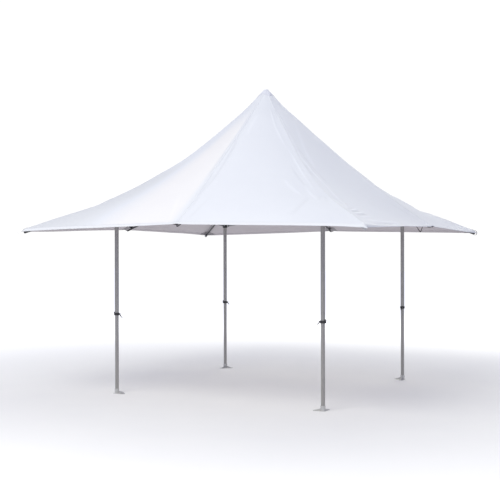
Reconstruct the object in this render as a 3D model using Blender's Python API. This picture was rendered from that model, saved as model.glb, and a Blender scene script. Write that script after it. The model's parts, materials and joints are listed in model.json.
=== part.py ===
"""Pop-up canopy tent: a square folding frame on telescopic legs under a tall peaked roof.

Metres, +Z up. The origin is on the ground under the mast. The front of the tent faces -Y.
"""

from math import atan2, cos, hypot, pi, radians, sin, sqrt

import bmesh
import bpy
from mathutils import Matrix, Vector

# Plan of the tent
LEG_HALF = 1.5  # from the centre to a leg's axis, along X and along Y
LEG_REACH = LEG_HALF * sqrt(2)  # the same along the diagonal
CORNER = 2.384  # from the centre to a roof corner, along X and along Y
CORNER_REACH = CORNER * sqrt(2)
SIDE_REACH = 2.404  # from the centre to the middle of an eave
SIGNS = {"front_left": (-1, -1), "front_right": (1, -1), "back_right": (1, 1), "back_left": (-1, 1)}
SIDES = {"front": 0, "right": 1, "back": 2, "left": 3}  # quarter turns from the front

# Heights
PEAK = 4.185
LEG_HEAD = 2.645  # where the roof passes over a leg
CORNER_EAVE = 2.170
SIDE_EAVE = 2.228
CLAMP = 1.067
TRUSS_HIGH = 2.540  # the upper row of scissor pivots
TRUSS_LOW = 2.310  # the lower row

# Roof cloth
CLOTH = 0.004
PEAK_FLAT = 0.025  # radius of the flat patch on the mast head
UPPER_SAG = 0.125  # of a ridge between the mast head and a leg
LOWER_SAG = 0.020  # of a ridge between a leg and the corner
SIDE_SAG = 0.105  # of the seam down the middle of each side
RINGS_ABOVE_LEG = 12
RINGS_BELOW_LEG = 6
STEPS_PER_HALF_SIDE = 4

# Legs: eight-sided tubes, given by their width and the length cut from each corner
OUTER_WIDTH = 0.049
OUTER_CUT = 0.012
WALL = 0.002
SLIDE_GAP = 0.0008  # between the inner and the outer leg
SEAT = 0.0003  # gap left between pieces that touch
PAST = 0.010  # how far a cutting tool runs past what it cuts
ROOT = 0.004  # how far a lug, rib or ear starts inside the wall it grows from
OUTER_TOP = 2.575
INNER_OVERLAP = 0.330
INNER_FOOT = 0.010  # height of an inner leg's lower end
HOLE_RADIUS = 0.0045
HOLES = 7
HOLE_PITCH = 0.100
FIRST_HOLE = 0.300

# Feet: a corner plate with a socket and two ribs
FOOT_OUT = 0.035  # plate's reach outwards from the leg's axis
FOOT_IN = 0.120  # and inwards, towards the next leg
FOOT_END = 0.050  # width of each end of the plate
FOOT_PLATE = 0.006
SOCKET_WIDTH = 0.053
SOCKET_HEIGHT = 0.066
RIB_REACH = 0.104
RIB_HEIGHT = 0.034
RIB_THICKNESS = 0.006
RIB_TIP = 0.004  # height of a rib's outer end above the plate
PEG_RADIUS = 0.007
PEG_END = 0.020  # from the end of the plate to a peg hole
PEG_SIDE = 0.018  # from the plate's outer edge to a peg hole

# Clamp and its lever
CLAMP_WIDTH = 0.061
CLAMP_CUT = 0.015
CLAMP_LOW = CLAMP - 0.017
CLAMP_HIGH = CLAMP + 0.017
CLAMP_FLOOR = CLAMP - 0.009  # where the outer leg stands in the collar
BOSS_WIDTH = 0.020
BOSS_THICKNESS = 0.009
BOSS_HIGH = CLAMP + 0.030
EAR_HEIGHT = 0.020
EAR_PAST_PIN = 0.008
LEVER_PIVOT = 0.0415  # from the leg's axis
LEVER_DROP = radians(48)  # below level, when closed
LEVER_LENGTH = 0.046
LEVER_WIDTH = 0.016
LEVER_THICKNESS = 0.007
LEVER_HEAD = 0.0075
LEVER_BEVEL = 0.0015
EAR_THICKNESS = 0.005
EAR_GAP = 0.0006
PIN_RADIUS = 0.003
PIN_GAP = 0.0003
LEVER_TURN = {"front_left": 0, "front_right": 2, "back_right": 3, "back_left": 0}  # quarter turns from +X

# Scissor bars and brackets
BAR_HEIGHT = 0.028
BAR_THICKNESS = 0.014
BAR_PLANE = 0.0002  # inner face of a bar from the plane between the two layers
PIVOT_INSET = 0.055  # from a leg's axis, or a side joint, to a bar's pivot
BRACKET_WIDTH = 0.067
BRACKET_CUT = 0.017
LUG_THICKNESS = 0.011
LUG_REACH = 0.072
LUG_HEIGHT = 0.034
SLIDER_BELOW = 0.032  # from the lower pivots to the slider's lower end
SLIDER_ABOVE = 0.030
BRACKET_BELOW = 0.035  # from the upper pivots to the top bracket's lower end
SHOULDER = OUTER_TOP + 0.014  # where the leg head's round nose begins
LEG_HEAD_NOSE = ((0.022, 0.024), (0.019, 0.012), (0.012, 0.004))  # radius, and depth below the nose's top
JOINT_WIDTH = 0.064
JOINT_HEIGHT = 0.036
JOINT_DEPTH = 0.030
JOINT_PROUD = 0.006  # how far a side joint stands out in front of its bars

# Arms that hold the overhanging roof
ARM_RADIUS = 0.0125
ARM_WALL = 0.0015
CAP_RADIUS = 0.0165
CAP_LENGTH = 0.085
CAP_STEP = 0.002  # the slanting step from an arm up to its cap
ARM_SOCKET_RADIUS = 0.0180
ARM_SOCKET_LENGTH = 0.060
ARM_SOCKET_ROOT = 0.020  # how far the socket's solid reaches back past the arm's end
ARM_START = 0.040  # from a leg's axis, or the plane of a side, to an arm's inner end
SLOPE_RUN = 0.050  # the stretch over which the roof's slope at an arm's end is taken
CORNER_ARM_END = 0.034  # how far short of the roof corner an arm ends
SIDE_ARM_END = 0.020
ARM_SIDES = 16
ARM_CLEAR = 0.0006  # between an arm's cap and the roof
CORNER_CREASE = 0.36  # slope of the roof away from a corner ridge
SIDE_CREASE = 0.10  # and away from the seam at the middle of an eave
HEAD_DROP = 0.010  # from the roof's top to the top of a leg's head

# Mast
MAST_WIDTH = 0.040
MAST_CUT = 0.009
MAST_UPPER_WIDTH = 0.034
MAST_UPPER_CUT = 0.008
MAST_STEP = 3.150
HUB_WIDTH = 0.090
HUB_CUT = 0.022
HUB_HEIGHT = 0.044
MAST_HEAD_TOP = PEAK - CLOTH - 0.0006
MAST_HEAD_RADIUS = 0.060
MAST_HEAD_FLAT = 0.020
MAST_HEAD_CROWN = (0.032, 0.012)  # radius, and depth below the top
MAST_HEAD_RIM = 0.046  # depth of the rim below the top
MAST_HEAD_NECK = 0.026
MAST_HEAD_SKIRT = 0.060  # length of the neck below the rim
MAST_IN_HEAD = 0.020  # depth of the mast's end below the head's top
HUB_FLOOR = 0.006  # thickness of the lower hub under the mast

PAINTS = {
    "roof_cloth": ((0.86, 0.87, 0.91), 0.75, 0.0),
    "leg_aluminium": ((0.60, 0.60, 0.60), 0.38, 0.9),
    "truss_aluminium": ((0.55, 0.55, 0.56), 0.42, 0.9),
    "dark_arm": ((0.05, 0.05, 0.055), 0.45, 0.4),
    "black_nylon": ((0.035, 0.035, 0.038), 0.55, 0.0),
    "foot_casting": ((0.66, 0.66, 0.65), 0.45, 0.8),
}


# Materials and objects

def paint(name):
    """The named finish, made when it is first asked for."""
    found = bpy.data.materials.get(name)
    if found:
        return found
    colour, roughness, metallic = PAINTS[name]
    material = bpy.data.materials.new(name)
    material.use_nodes = True
    shader = material.node_tree.nodes["Principled BSDF"]
    shader.inputs["Base Color"].default_value = (*colour, 1.0)
    shader.inputs["Roughness"].default_value = roughness
    shader.inputs["Metallic"].default_value = metallic
    return material


def as_object(name, shape, finish=None, round_from=None):
    """An object from a bmesh, smooth across edges flatter than round_from degrees."""
    bmesh.ops.recalc_face_normals(shape, faces=shape.faces)
    mesh = bpy.data.meshes.new(name)
    shape.to_mesh(mesh)
    shape.free()
    if round_from:
        mesh.shade_smooth()
        mesh.set_sharp_from_angle(angle=radians(round_from))
    thing = bpy.data.objects.new(name, mesh)
    bpy.context.scene.collection.objects.link(thing)
    if finish:
        mesh.materials.append(paint(finish))
    return thing


def hide_tool(thing):
    """A shape that only cuts or joins another is a guide, and isn't part of the tent."""
    thing.hide_render = True
    thing.display_type = "WIRE"


def combine(thing, tools, operation):
    """Boolean of thing with each of tools, in turn, left as modifiers."""
    for tool in tools:
        hide_tool(tool)
        modifier = thing.modifiers.new(tool.name, "BOOLEAN")
        modifier.operation = operation
        modifier.solver = "EXACT"
        modifier.object = tool
    return thing


def place(thing, position=(0, 0, 0), turn=0.0, tools=()):
    """Puts a thing, and the tools that shape it, at a position, turned about the vertical."""
    moved = Matrix.Translation(position) @ Matrix.Rotation(turn, 4, "Z")
    for each in (thing, *tools):
        each.matrix_world = moved @ each.matrix_world
    return thing


# Plain shapes

def eight_sided(width, cut):
    """Corners of a square of that width with its corners cut off, anticlockwise."""
    half = width / 2
    short = half - cut
    corners = [(half, -short), (half, short), (short, half), (-short, half)]
    return corners + [(-x, -y) for x, y in corners]


def inset(width, cut, by):
    """Width and cut of the eight-sided outline that lies that far inside another."""
    return width - 2 * by, cut - (2 - sqrt(2)) * by


def prism(outline, low, high):
    """A closed prism over an outline."""
    shape = bmesh.new()
    face = shape.faces.new([shape.verts.new((x, y, low)) for x, y in outline])
    grown = bmesh.ops.extrude_face_region(shape, geom=[face])["geom"]
    corners = [v for v in grown if isinstance(v, bmesh.types.BMVert)]
    bmesh.ops.translate(shape, vec=(0, 0, high - low), verts=corners)
    return shape


def skin(shape, lower, upper):
    """Faces between two rings of corners that match one to one."""
    for n in range(len(lower)):
        shape.faces.new((lower[n - 1], lower[n], upper[n], upper[n - 1]))


def sleeve(levels):
    """A closed tube wall: each level is (outline, height), outside going up and then inside going down."""
    shape = bmesh.new()
    rings = [[shape.verts.new((x, y, height)) for x, y in outline] for outline, height in levels]
    for lower, upper in zip(rings, rings[1:] + rings[:1]):
        skin(shape, lower, upper)
    return shape


def eight_sided_tube(width, cut, wall, low, high):
    outside = eight_sided(width, cut)
    inside = eight_sided(*inset(width, cut, wall))
    return sleeve([(outside, low), (outside, high), (inside, high), (inside, low)])


def turned(profile, sides, start=0.0):
    """A solid of revolution about Z from (radius, height) points that begin and end on the axis."""
    shape = bmesh.new()
    points = [shape.verts.new((radius * cos(start), radius * sin(start), z)) for radius, z in profile]
    edges = [shape.edges.new((a, b)) for a, b in zip(points, points[1:])]
    bmesh.ops.spin(shape, geom=points + edges, cent=(0, 0, 0), axis=(0, 0, 1), angle=2 * pi,
                   steps=sides, use_merge=True)
    bmesh.ops.remove_doubles(shape, verts=shape.verts, dist=1e-6)
    return shape


def along(shape, start, end):
    """Turns a shape made up the Z axis so that it runs from start towards end."""
    direction = (Vector(end) - Vector(start)).normalized()
    turn = Vector((0, 0, 1)).rotation_difference(direction).to_matrix().to_4x4()
    bmesh.ops.transform(shape, matrix=Matrix.Translation(start) @ turn, verts=shape.verts)
    return shape


def box(low, high):
    shape = bmesh.new()
    bmesh.ops.create_cube(shape, size=1.0)
    size = [b - a for a, b in zip(low, high)]
    middle = [(a + b) / 2 for a, b in zip(low, high)]
    bmesh.ops.scale(shape, vec=size, verts=shape.verts)
    bmesh.ops.translate(shape, vec=middle, verts=shape.verts)
    return shape


def flat_bar(start, end, near, far):
    """A bar with round ends between two pivots (x, z), between the planes y = near and y = far."""
    run, rise = end[0] - start[0], end[1] - start[1]
    length, tilt = hypot(run, rise), atan2(rise, run)
    half = BAR_HEIGHT / 2
    turns = [pi / 2 - n * pi / 6 for n in range(7)]
    outline = [(length + half * cos(t), half * sin(t)) for t in turns]
    outline += [(-half * cos(t), -half * sin(t)) for t in turns]
    shape = prism(outline[::-1], 0.0, far - near)
    stand = Matrix.Translation((start[0], near, start[1])) @ Matrix.Rotation(-tilt, 4, "Y")
    lay = Matrix(((1, 0, 0, 0), (0, 0, 1, 0), (0, 1, 0, 0), (0, 0, 0, 1)))
    bmesh.ops.transform(shape, matrix=stand @ lay, verts=shape.verts)
    return shape


# Roof surface

def sagging(reach, start, end, sag):
    """Height of a line that sags between two (reach, height) supports."""
    share = (reach - start[0]) / (end[0] - start[0])
    return start[1] + share * (end[1] - start[1]) - 4 * sag * share * (1 - share)


def ridge_height(reach):
    """Height of the ridge that runs from the mast head over a leg to a roof corner."""
    if reach < LEG_REACH:
        return sagging(reach, (PEAK_FLAT, PEAK), (LEG_REACH, LEG_HEAD), UPPER_SAG)
    return sagging(reach, (LEG_REACH, LEG_HEAD), (CORNER_REACH, CORNER_EAVE), LOWER_SAG)


def side_height(reach):
    """Height of the seam that runs from the mast head to the middle of an eave."""
    return sagging(reach, (PEAK_FLAT, PEAK), (SIDE_REACH, SIDE_EAVE), SIDE_SAG)


def roof_point(quarter, across, share):
    """A point of the roof.

    across runs along an eave, from -1 at one corner through 0 at the side's middle to 1 at the next corner,
    and share from the mast head to the eave. Each gore is ruled straight between its seam and its ridge.
    """
    out, along_eave = SIDE_REACH + abs(across) * (CORNER - SIDE_REACH), across * CORNER
    eave = hypot(out, along_eave)
    reach = PEAK_FLAT + share * (eave - PEAK_FLAT)
    angle = (quarter - 1) * pi / 2 + atan2(along_eave, out)
    side = side_height(PEAK_FLAT + share * (SIDE_REACH - PEAK_FLAT))
    ridge = ridge_height(PEAK_FLAT + share * (CORNER_REACH - PEAK_FLAT))
    return reach * cos(angle), reach * sin(angle), side + abs(across) * (ridge - side)


def roof_shares():
    """Where the rings of the roof's mesh lie, with one of them on the leg heads."""
    leg = (LEG_REACH - PEAK_FLAT) / (CORNER_REACH - PEAK_FLAT)
    above = [leg * n / RINGS_ABOVE_LEG for n in range(RINGS_ABOVE_LEG)]
    below = [leg + (1 - leg) * n / RINGS_BELOW_LEG for n in range(RINGS_BELOW_LEG + 1)]
    return above + below


def make_canopy():
    """The sewn roof, one sheet from the mast head to the eaves."""
    across_a_side = [n / STEPS_PER_HALF_SIDE - 1 for n in range(2 * STEPS_PER_HALF_SIDE)]
    round_the_roof = [(quarter, across) for quarter in range(4) for across in across_a_side]
    shape = bmesh.new()
    rings = []
    for share in roof_shares():
        rings.append([shape.verts.new(roof_point(*spot, share)) for spot in round_the_roof])
    for upper, lower in zip(rings, rings[1:]):
        skin(shape, lower, upper)
    shape.faces.new(rings[0])
    bmesh.ops.triangulate(shape, faces=shape.faces)
    canopy = as_object("canopy", shape, "roof_cloth", round_from=30)
    wall = canopy.modifiers.new("thickness", "SOLIDIFY")
    wall.thickness = CLOTH
    wall.offset = -1.0
    wall.use_even_offset = True
    return canopy


# Legs, feet and clamps

def make_outer_leg(corner, position):
    shape = eight_sided_tube(OUTER_WIDTH, OUTER_CUT, WALL, CLAMP_FLOOR + SEAT, OUTER_TOP)
    return place(as_object("outer_leg_" + corner, shape, "leg_aluminium"), position)


def make_inner_leg(corner, position):
    """The telescopic lower leg, with a row of height holes through the two faces along X."""
    width, cut = inset(OUTER_WIDTH, OUTER_CUT, WALL + SLIDE_GAP)
    shape = eight_sided_tube(width, cut, WALL, INNER_FOOT + SEAT, CLAMP + INNER_OVERLAP)
    leg = as_object("inner_leg_" + corner, shape, "leg_aluminium")
    drills = bmesh.new()
    for n in range(HOLES):
        high = Matrix.Translation((0, 0, FIRST_HOLE + n * HOLE_PITCH)) @ Matrix.Rotation(pi / 2, 4, "Y")
        bmesh.ops.create_cone(drills, cap_ends=True, segments=8, radius1=HOLE_RADIUS,
                              radius2=HOLE_RADIUS, depth=width + 2 * PAST, matrix=high)
    drill = as_object("height_holes_" + corner, drills)
    combine(leg, [drill], "DIFFERENCE")
    return place(leg, position, tools=[drill])


def make_foot(corner, position, turn):
    """A corner plate whose two arms point at the next legs, with a socket for the inner leg."""
    out, reach, end = -FOOT_OUT, FOOT_IN, FOOT_END - FOOT_OUT
    plate = prism([(out, out), (reach, out), (reach, end), (end, reach), (out, reach)], 0.0, FOOT_PLATE)
    foot = as_object("foot_" + corner, plate, "foot_casting")
    width, cut = inset(OUTER_WIDTH, OUTER_CUT, WALL + SLIDE_GAP - SEAT)
    outside = eight_sided(SOCKET_WIDTH, OUTER_CUT)
    inside = eight_sided(width, cut)
    socket = as_object("socket_" + corner, prism(outside, FOOT_PLATE / 2, SOCKET_HEIGHT))
    ribs = []
    for name, way in (("x", 0.0), ("y", pi / 2)):
        start, low = SOCKET_WIDTH / 2 - ROOT, FOOT_PLATE / 2
        side = [(start, low), (RIB_REACH, low), (RIB_REACH, FOOT_PLATE + RIB_TIP), (start, RIB_HEIGHT)]
        shape = prism(side, -RIB_THICKNESS / 2, RIB_THICKNESS / 2)
        stand = Matrix.Rotation(way, 4, "Z") @ Matrix.Rotation(pi / 2, 4, "X")
        bmesh.ops.transform(shape, matrix=stand, verts=shape.verts)
        ribs.append(as_object(f"rib_{name}_{corner}", shape))
    bore = as_object("bore_" + corner, prism(inside, INNER_FOOT, SOCKET_HEIGHT + PAST))
    pegs = bmesh.new()
    middle = (reach + end) / 3
    beside, far = out + PEG_SIDE, reach - PEG_END
    for x, y in ((far, beside), (beside, far), (middle, middle)):
        bmesh.ops.create_cone(pegs, cap_ends=True, segments=12, radius1=PEG_RADIUS, radius2=PEG_RADIUS,
                              depth=2 * (FOOT_PLATE + PAST), matrix=Matrix.Translation((x, y, 0)))
    peg = as_object("peg_holes_" + corner, pegs)
    combine(foot, [socket, *ribs], "UNION")
    combine(foot, [bore, peg], "DIFFERENCE")
    return place(foot, position, turn, tools=[socket, *ribs, bore, peg])


def make_clamp(corner, position, turn):
    """The collar at the outer leg's lower end, with a bolt boss, and two ears and a pin for the lever."""
    outside = eight_sided(CLAMP_WIDTH, CLAMP_CUT)
    throat = eight_sided(*inset(OUTER_WIDTH, OUTER_CUT, WALL + SLIDE_GAP - SEAT))
    pocket = eight_sided(OUTER_WIDTH + 2 * SEAT, OUTER_CUT)
    shape = sleeve([(outside, CLAMP_LOW), (outside, CLAMP_HIGH), (pocket, CLAMP_HIGH), (pocket, CLAMP_FLOOR),
                    (throat, CLAMP_FLOOR), (throat, CLAMP_LOW)])
    clamp = as_object("clamp_" + corner, shape, "black_nylon")
    boss = box((-CLAMP_WIDTH / 2 - BOSS_THICKNESS, -BOSS_WIDTH / 2, CLAMP_LOW + ROOT),
               (ROOT - CLAMP_WIDTH / 2, BOSS_WIDTH / 2, BOSS_HIGH))
    tools = [as_object("boss_" + corner, boss)]
    inner_face = LEVER_WIDTH / 2 + EAR_GAP
    for name, side in (("a", -1), ("b", 1)):
        ys = sorted((side * inner_face, side * (inner_face + EAR_THICKNESS)))
        low = (CLAMP_WIDTH / 2 - ROOT, ys[0], CLAMP - EAR_HEIGHT / 2)
        high = (LEVER_PIVOT + EAR_PAST_PIN, ys[1], CLAMP + EAR_HEIGHT / 2)
        tools.append(as_object(f"ear_{name}_{corner}", box(low, high)))
    pin = bmesh.new()
    reach = 2 * inner_face + EAR_THICKNESS
    spot = Matrix.Translation((LEVER_PIVOT, 0, CLAMP)) @ Matrix.Rotation(pi / 2, 4, "X")
    bmesh.ops.create_cone(pin, cap_ends=True, segments=12, radius1=PIN_RADIUS, radius2=PIN_RADIUS,
                          depth=reach, matrix=spot)
    tools.append(as_object("pin_" + corner, pin))
    combine(clamp, tools, "UNION")
    return place(clamp, position, turn, tools=tools)


def make_lever(corner, position, turn):
    """The clamp's lever, with its origin on its pin, closed and pointing down."""
    shape = bmesh.new()
    bmesh.ops.create_cone(shape, cap_ends=True, segments=16, radius1=LEVER_HEAD, radius2=LEVER_HEAD,
                          depth=LEVER_WIDTH, matrix=Matrix.Rotation(pi / 2, 4, "X"))
    lever = as_object("clamp_lever_" + corner, shape, "black_nylon")
    thick, wide = LEVER_THICKNESS / 2, LEVER_WIDTH / 2 - LEVER_BEVEL / 2
    handle_shape = box((0, -wide, -thick), (LEVER_LENGTH, wide, thick))
    bmesh.ops.bevel(handle_shape, geom=handle_shape.edges, offset=LEVER_BEVEL, segments=1, profile=0.5,
                    affect="EDGES", material=-1)
    bmesh.ops.rotate(handle_shape, cent=(0, 0, 0), matrix=Matrix.Rotation(LEVER_DROP, 3, "Y"),
                     verts=handle_shape.verts)
    handle = as_object("handle_" + corner, handle_shape)
    eye_shape = bmesh.new()
    bmesh.ops.create_cone(eye_shape, cap_ends=True, segments=12, radius1=PIN_RADIUS + PIN_GAP,
                          radius2=PIN_RADIUS + PIN_GAP, depth=LEVER_WIDTH + PAST,
                          matrix=Matrix.Rotation(pi / 2, 4, "X"))
    eye = as_object("eye_" + corner, eye_shape)
    combine(lever, [handle], "UNION")
    combine(lever, [eye], "DIFFERENCE")
    pivot = Matrix.Rotation(turn, 3, "Z") @ Vector((LEVER_PIVOT, 0, CLAMP))
    return place(lever, Vector(position) + pivot, turn, tools=[handle, eye])


# Brackets on the legs

def lug(name, near, far, height, angle):
    """A flat lug that a scissor bar's end lies against, pointing along an angle."""
    start = BRACKET_WIDTH / 2 - 3 * ROOT
    shape = box((start, near, height - LUG_HEIGHT / 2), (LUG_REACH, far, height + LUG_HEIGHT / 2))
    bmesh.ops.rotate(shape, cent=(0, 0, 0), matrix=Matrix.Rotation(angle, 3, "Z"), verts=shape.verts)
    return as_object(name, shape)


def lug_faces(outer_layer, towards_left):
    """The two y planes of a lug that points along +X, beside a bar of the outer or inner layer.

    towards_left is true where the tent's outside lies at +Y of the lug.
    """
    outside = 1 if towards_left else -1
    away = -outside if outer_layer else outside
    start = away * (SEAT - BAR_PLANE)
    return sorted((start, start + away * LUG_THICKNESS))


def corner_lugs(prefix, corner, height, outer_layer):
    """Two lugs, each pointing along an eave to the next leg."""
    sx, sy = SIGNS[corner]
    lugs = []
    along_x = ("x", 0.0 if sx < 0 else pi, (0, sy))
    along_y = ("y", pi / 2 if sy < 0 else -pi / 2, (sx, 0))
    for name, angle, outside in (along_x, along_y):
        left = (-sin(angle), cos(angle))
        near, far = lug_faces(outer_layer, left[0] * outside[0] + left[1] * outside[1] > 0)
        lugs.append(lug(f"{prefix}_lug_{name}_{corner}", near, far, height, angle))
    return lugs


def make_slider(corner, position):
    """The runner that carries the lower row of pivots."""
    outside = eight_sided(BRACKET_WIDTH, BRACKET_CUT)
    inside = eight_sided(OUTER_WIDTH + 2 * SEAT, OUTER_CUT)
    low, high = TRUSS_LOW - SLIDER_BELOW, TRUSS_LOW + SLIDER_ABOVE
    shape = sleeve([(outside, low), (outside, high), (inside, high), (inside, low)])
    slider = as_object("slider_" + corner, shape, "black_nylon")
    lugs = corner_lugs("slider", corner, TRUSS_LOW, outer_layer=True)
    bore = as_object("slider_bore_" + corner, prism(inside, low - PAST, high + PAST))
    combine(slider, lugs, "UNION")
    combine(slider, [bore], "DIFFERENCE")
    return place(slider, position, tools=[*lugs, bore])


def make_top_bracket(corner, position):
    """The casting on a leg's head: scissor lugs, a socket for the roof arm and a head for the roof."""
    outside = eight_sided(BRACKET_WIDTH, BRACKET_CUT)
    inside = eight_sided(OUTER_WIDTH + 2 * SEAT, OUTER_CUT)
    low = TRUSS_HIGH - BRACKET_BELOW
    bracket = as_object("top_bracket_" + corner, prism(outside, low, SHOULDER), "black_nylon")
    top = LEG_HEAD - HEAD_DROP
    nose = [(radius, top - depth) for radius, depth in LEG_HEAD_NOSE]
    dome_profile = [(0, SHOULDER - ROOT), (nose[0][0], SHOULDER - ROOT), *nose, (0, top)]
    dome = as_object("leg_head_" + corner, turned(dome_profile, ARM_SIDES))
    lugs = corner_lugs("top", corner, TRUSS_HIGH, outer_layer=False)
    start, end = (point - Vector(position) for point in corner_arm_line(corner))
    socket, arm_hole = arm_socket(corner, start, end)
    leg_hole = as_object("leg_hole_" + corner, prism(inside, low - PAST, OUTER_TOP + SEAT))
    combine(bracket, [dome, *lugs, socket], "UNION")
    combine(bracket, [arm_hole, leg_hole], "DIFFERENCE")
    return place(bracket, position, tools=[dome, *lugs, socket, arm_hole, leg_hole])


# Arms

def drop_below(slope, crease):
    """How far an arm's axis lies below a sloping, creased roof, for its cap to just clear the cloth."""
    return (CAP_RADIUS + CLOTH + ARM_CLEAR) * sqrt(1 + slope * slope + crease * crease)


def corner_arm_line(corner):
    """Start and end of a corner arm's axis: from the leg's head down and out under the ridge."""
    sx, sy = SIGNS[corner]
    reach = CORNER_REACH - CORNER_ARM_END
    slope = (ridge_height(reach - SLOPE_RUN) - ridge_height(reach)) / SLOPE_RUN
    end_height = ridge_height(reach) - drop_below(slope, CORNER_CREASE)
    inner = LEG_REACH + ARM_START
    share = (inner - LEG_REACH) / (reach - LEG_REACH)
    start_height = TRUSS_HIGH + share * (end_height - TRUSS_HIGH)
    way = Vector((sx, sy, 0)) / sqrt(2)
    up = Vector((0, 0, 1))
    return inner * way + start_height * up, reach * way + end_height * up


def side_arm_line():
    """Start and end of the front side arm's axis, from the side joint to the middle of the eave."""
    reach = SIDE_REACH - SIDE_ARM_END
    slope = (side_height(reach - SLOPE_RUN) - side_height(reach)) / SLOPE_RUN
    end_height = side_height(reach) - drop_below(slope, SIDE_CREASE)
    inner = LEG_HALF + ARM_START
    share = ARM_START / (reach - LEG_HALF)
    start_height = TRUSS_HIGH + share * (end_height - TRUSS_HIGH)
    return Vector((0, -inner, start_height)), Vector((0, -reach, end_height))


def round_rod(radius, length):
    """A closed round rod up the Z axis."""
    return turned([(0, 0), (radius, 0), (radius, length), (0, length)], ARM_SIDES)


def arm_socket(name, start, end):
    """The socket that takes an arm's inner end, and the hole in it, as two tools."""
    way = (end - start).normalized()
    length = ARM_SOCKET_ROOT + ARM_SOCKET_LENGTH
    solid = along(round_rod(ARM_SOCKET_RADIUS, length), start - ARM_SOCKET_ROOT * way, end)
    opening = along(round_rod(ARM_RADIUS + SEAT, length), start - SEAT * way, end)
    return as_object("arm_socket_" + name, solid), as_object("arm_hole_" + name, opening)


def make_arm(name, start, end):
    """A round tube with a thicker, closed cap on its outer end."""
    length = (end - start).length
    cap = length - CAP_LENGTH
    bore = ARM_RADIUS - ARM_WALL
    quarter = [n * pi / 8 for n in range(4)]
    nose = [(CAP_RADIUS * cos(t), length - CAP_RADIUS * (1 - sin(t))) for t in quarter]
    tube = [(0, cap), (bore, cap), (bore, 0), (ARM_RADIUS, 0), (ARM_RADIUS, cap)]
    profile = [*tube, (CAP_RADIUS, cap + CAP_STEP), *nose, (0, length)]
    return as_object(name, along(turned(profile, ARM_SIDES), start, end), "dark_arm", round_from=40)


# Scissor trusses

def make_high_chevron(side, turn):
    """The two bars in the outer layer that rise from the sliders to the joint in the middle of a side."""
    near, far = -(BAR_PLANE + BAR_THICKNESS), -BAR_PLANE
    end = LEG_HALF - PIVOT_INSET
    left = as_object(f"truss_{side}_high", flat_bar((-end, TRUSS_LOW), (0, TRUSS_HIGH), near, far),
                     "truss_aluminium")
    right = as_object(f"{side}_high_right",
                      flat_bar((0, TRUSS_HIGH), (end, TRUSS_LOW), near, far))
    block = box((-JOINT_WIDTH / 2, near - JOINT_PROUD, TRUSS_HIGH - JOINT_HEIGHT / 2),
                (JOINT_WIDTH / 2, JOINT_DEPTH, TRUSS_HIGH + JOINT_HEIGHT / 2))
    joint = as_object(f"{side}_high_joint", block)
    tongue = inner_lug(f"{side}_high_tongue", TRUSS_HIGH, left_side=False)
    start, finish = (point + Vector((0, LEG_HALF, 0)) for point in side_arm_line())
    socket, hole = arm_socket(side, start, finish)
    combine(left, [right, joint, tongue, socket], "UNION")
    combine(left, [hole], "DIFFERENCE")
    place(left, (0, -LEG_HALF, 0), tools=[right, joint, tongue, socket, hole])
    return place(left, turn=turn, tools=[right, joint, tongue, socket, hole])


def inner_lug(name, height, left_side):
    """A lug on a side joint that points at the mast, beside the inner bar of one layer."""
    side = -1 if left_side else 1
    near = side * (SEAT - BAR_PLANE)
    xs = sorted((near, near + side * LUG_THICKNESS))
    half = LUG_HEIGHT / 2
    shape = box((xs[0], JOINT_DEPTH - ROOT, height - half), (xs[1], LUG_REACH, height + half))
    return as_object(name, shape)


def make_low_chevron(side, turn):
    """The two bars in the inner layer that fall from the top brackets to the lower joint of a side."""
    near, far = BAR_PLANE, BAR_PLANE + BAR_THICKNESS
    end = LEG_HALF - PIVOT_INSET
    left = as_object(f"truss_{side}_low", flat_bar((-end, TRUSS_HIGH), (0, TRUSS_LOW), near, far),
                     "truss_aluminium")
    right = as_object(f"{side}_low_right", flat_bar((0, TRUSS_LOW), (end, TRUSS_HIGH), near, far))
    block = box((-JOINT_WIDTH / 2, near, TRUSS_LOW - JOINT_HEIGHT / 2),
                (JOINT_WIDTH / 2, JOINT_DEPTH, TRUSS_LOW + JOINT_HEIGHT / 2))
    joint = as_object(f"{side}_low_joint", block)
    tongue = inner_lug(f"{side}_low_tongue", TRUSS_LOW, left_side=True)
    combine(left, [right, joint, tongue], "UNION")
    place(left, (0, -LEG_HALF, 0), tools=[right, joint, tongue])
    return place(left, turn=turn, tools=[right, joint, tongue])


def make_hub(name, hub_height, far_height, right_side, floor):
    """A hub on the mast with four bars that run out to the side joints."""
    low, high = hub_height - HUB_HEIGHT / 2, hub_height + HUB_HEIGHT / 2
    hub = as_object(name, prism(eight_sided(HUB_WIDTH, HUB_CUT), low, high), "truss_aluminium")
    near = BAR_PLANE if right_side else -(BAR_PLANE + BAR_THICKNESS)
    end = LEG_HALF - PIVOT_INSET
    bars = []
    for n in range(4):
        shape = flat_bar((MAST_WIDTH / 2 + PAST, hub_height), (end, far_height), near, near + BAR_THICKNESS)
        bmesh.ops.rotate(shape, cent=(0, 0, 0), matrix=Matrix.Rotation(n * pi / 2, 3, "Z"), verts=shape.verts)
        bars.append(as_object(f"{name}_bar_{n}", shape))
    bore_low = low - PAST if floor is None else floor
    mast_hole = prism(eight_sided(MAST_WIDTH + 2 * SEAT, MAST_CUT), bore_low, high + PAST)
    bore = as_object(f"{name}_bore", mast_hole)
    combine(hub, bars, "UNION")
    combine(hub, [bore], "DIFFERENCE")
    return hub


# Mast

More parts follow.
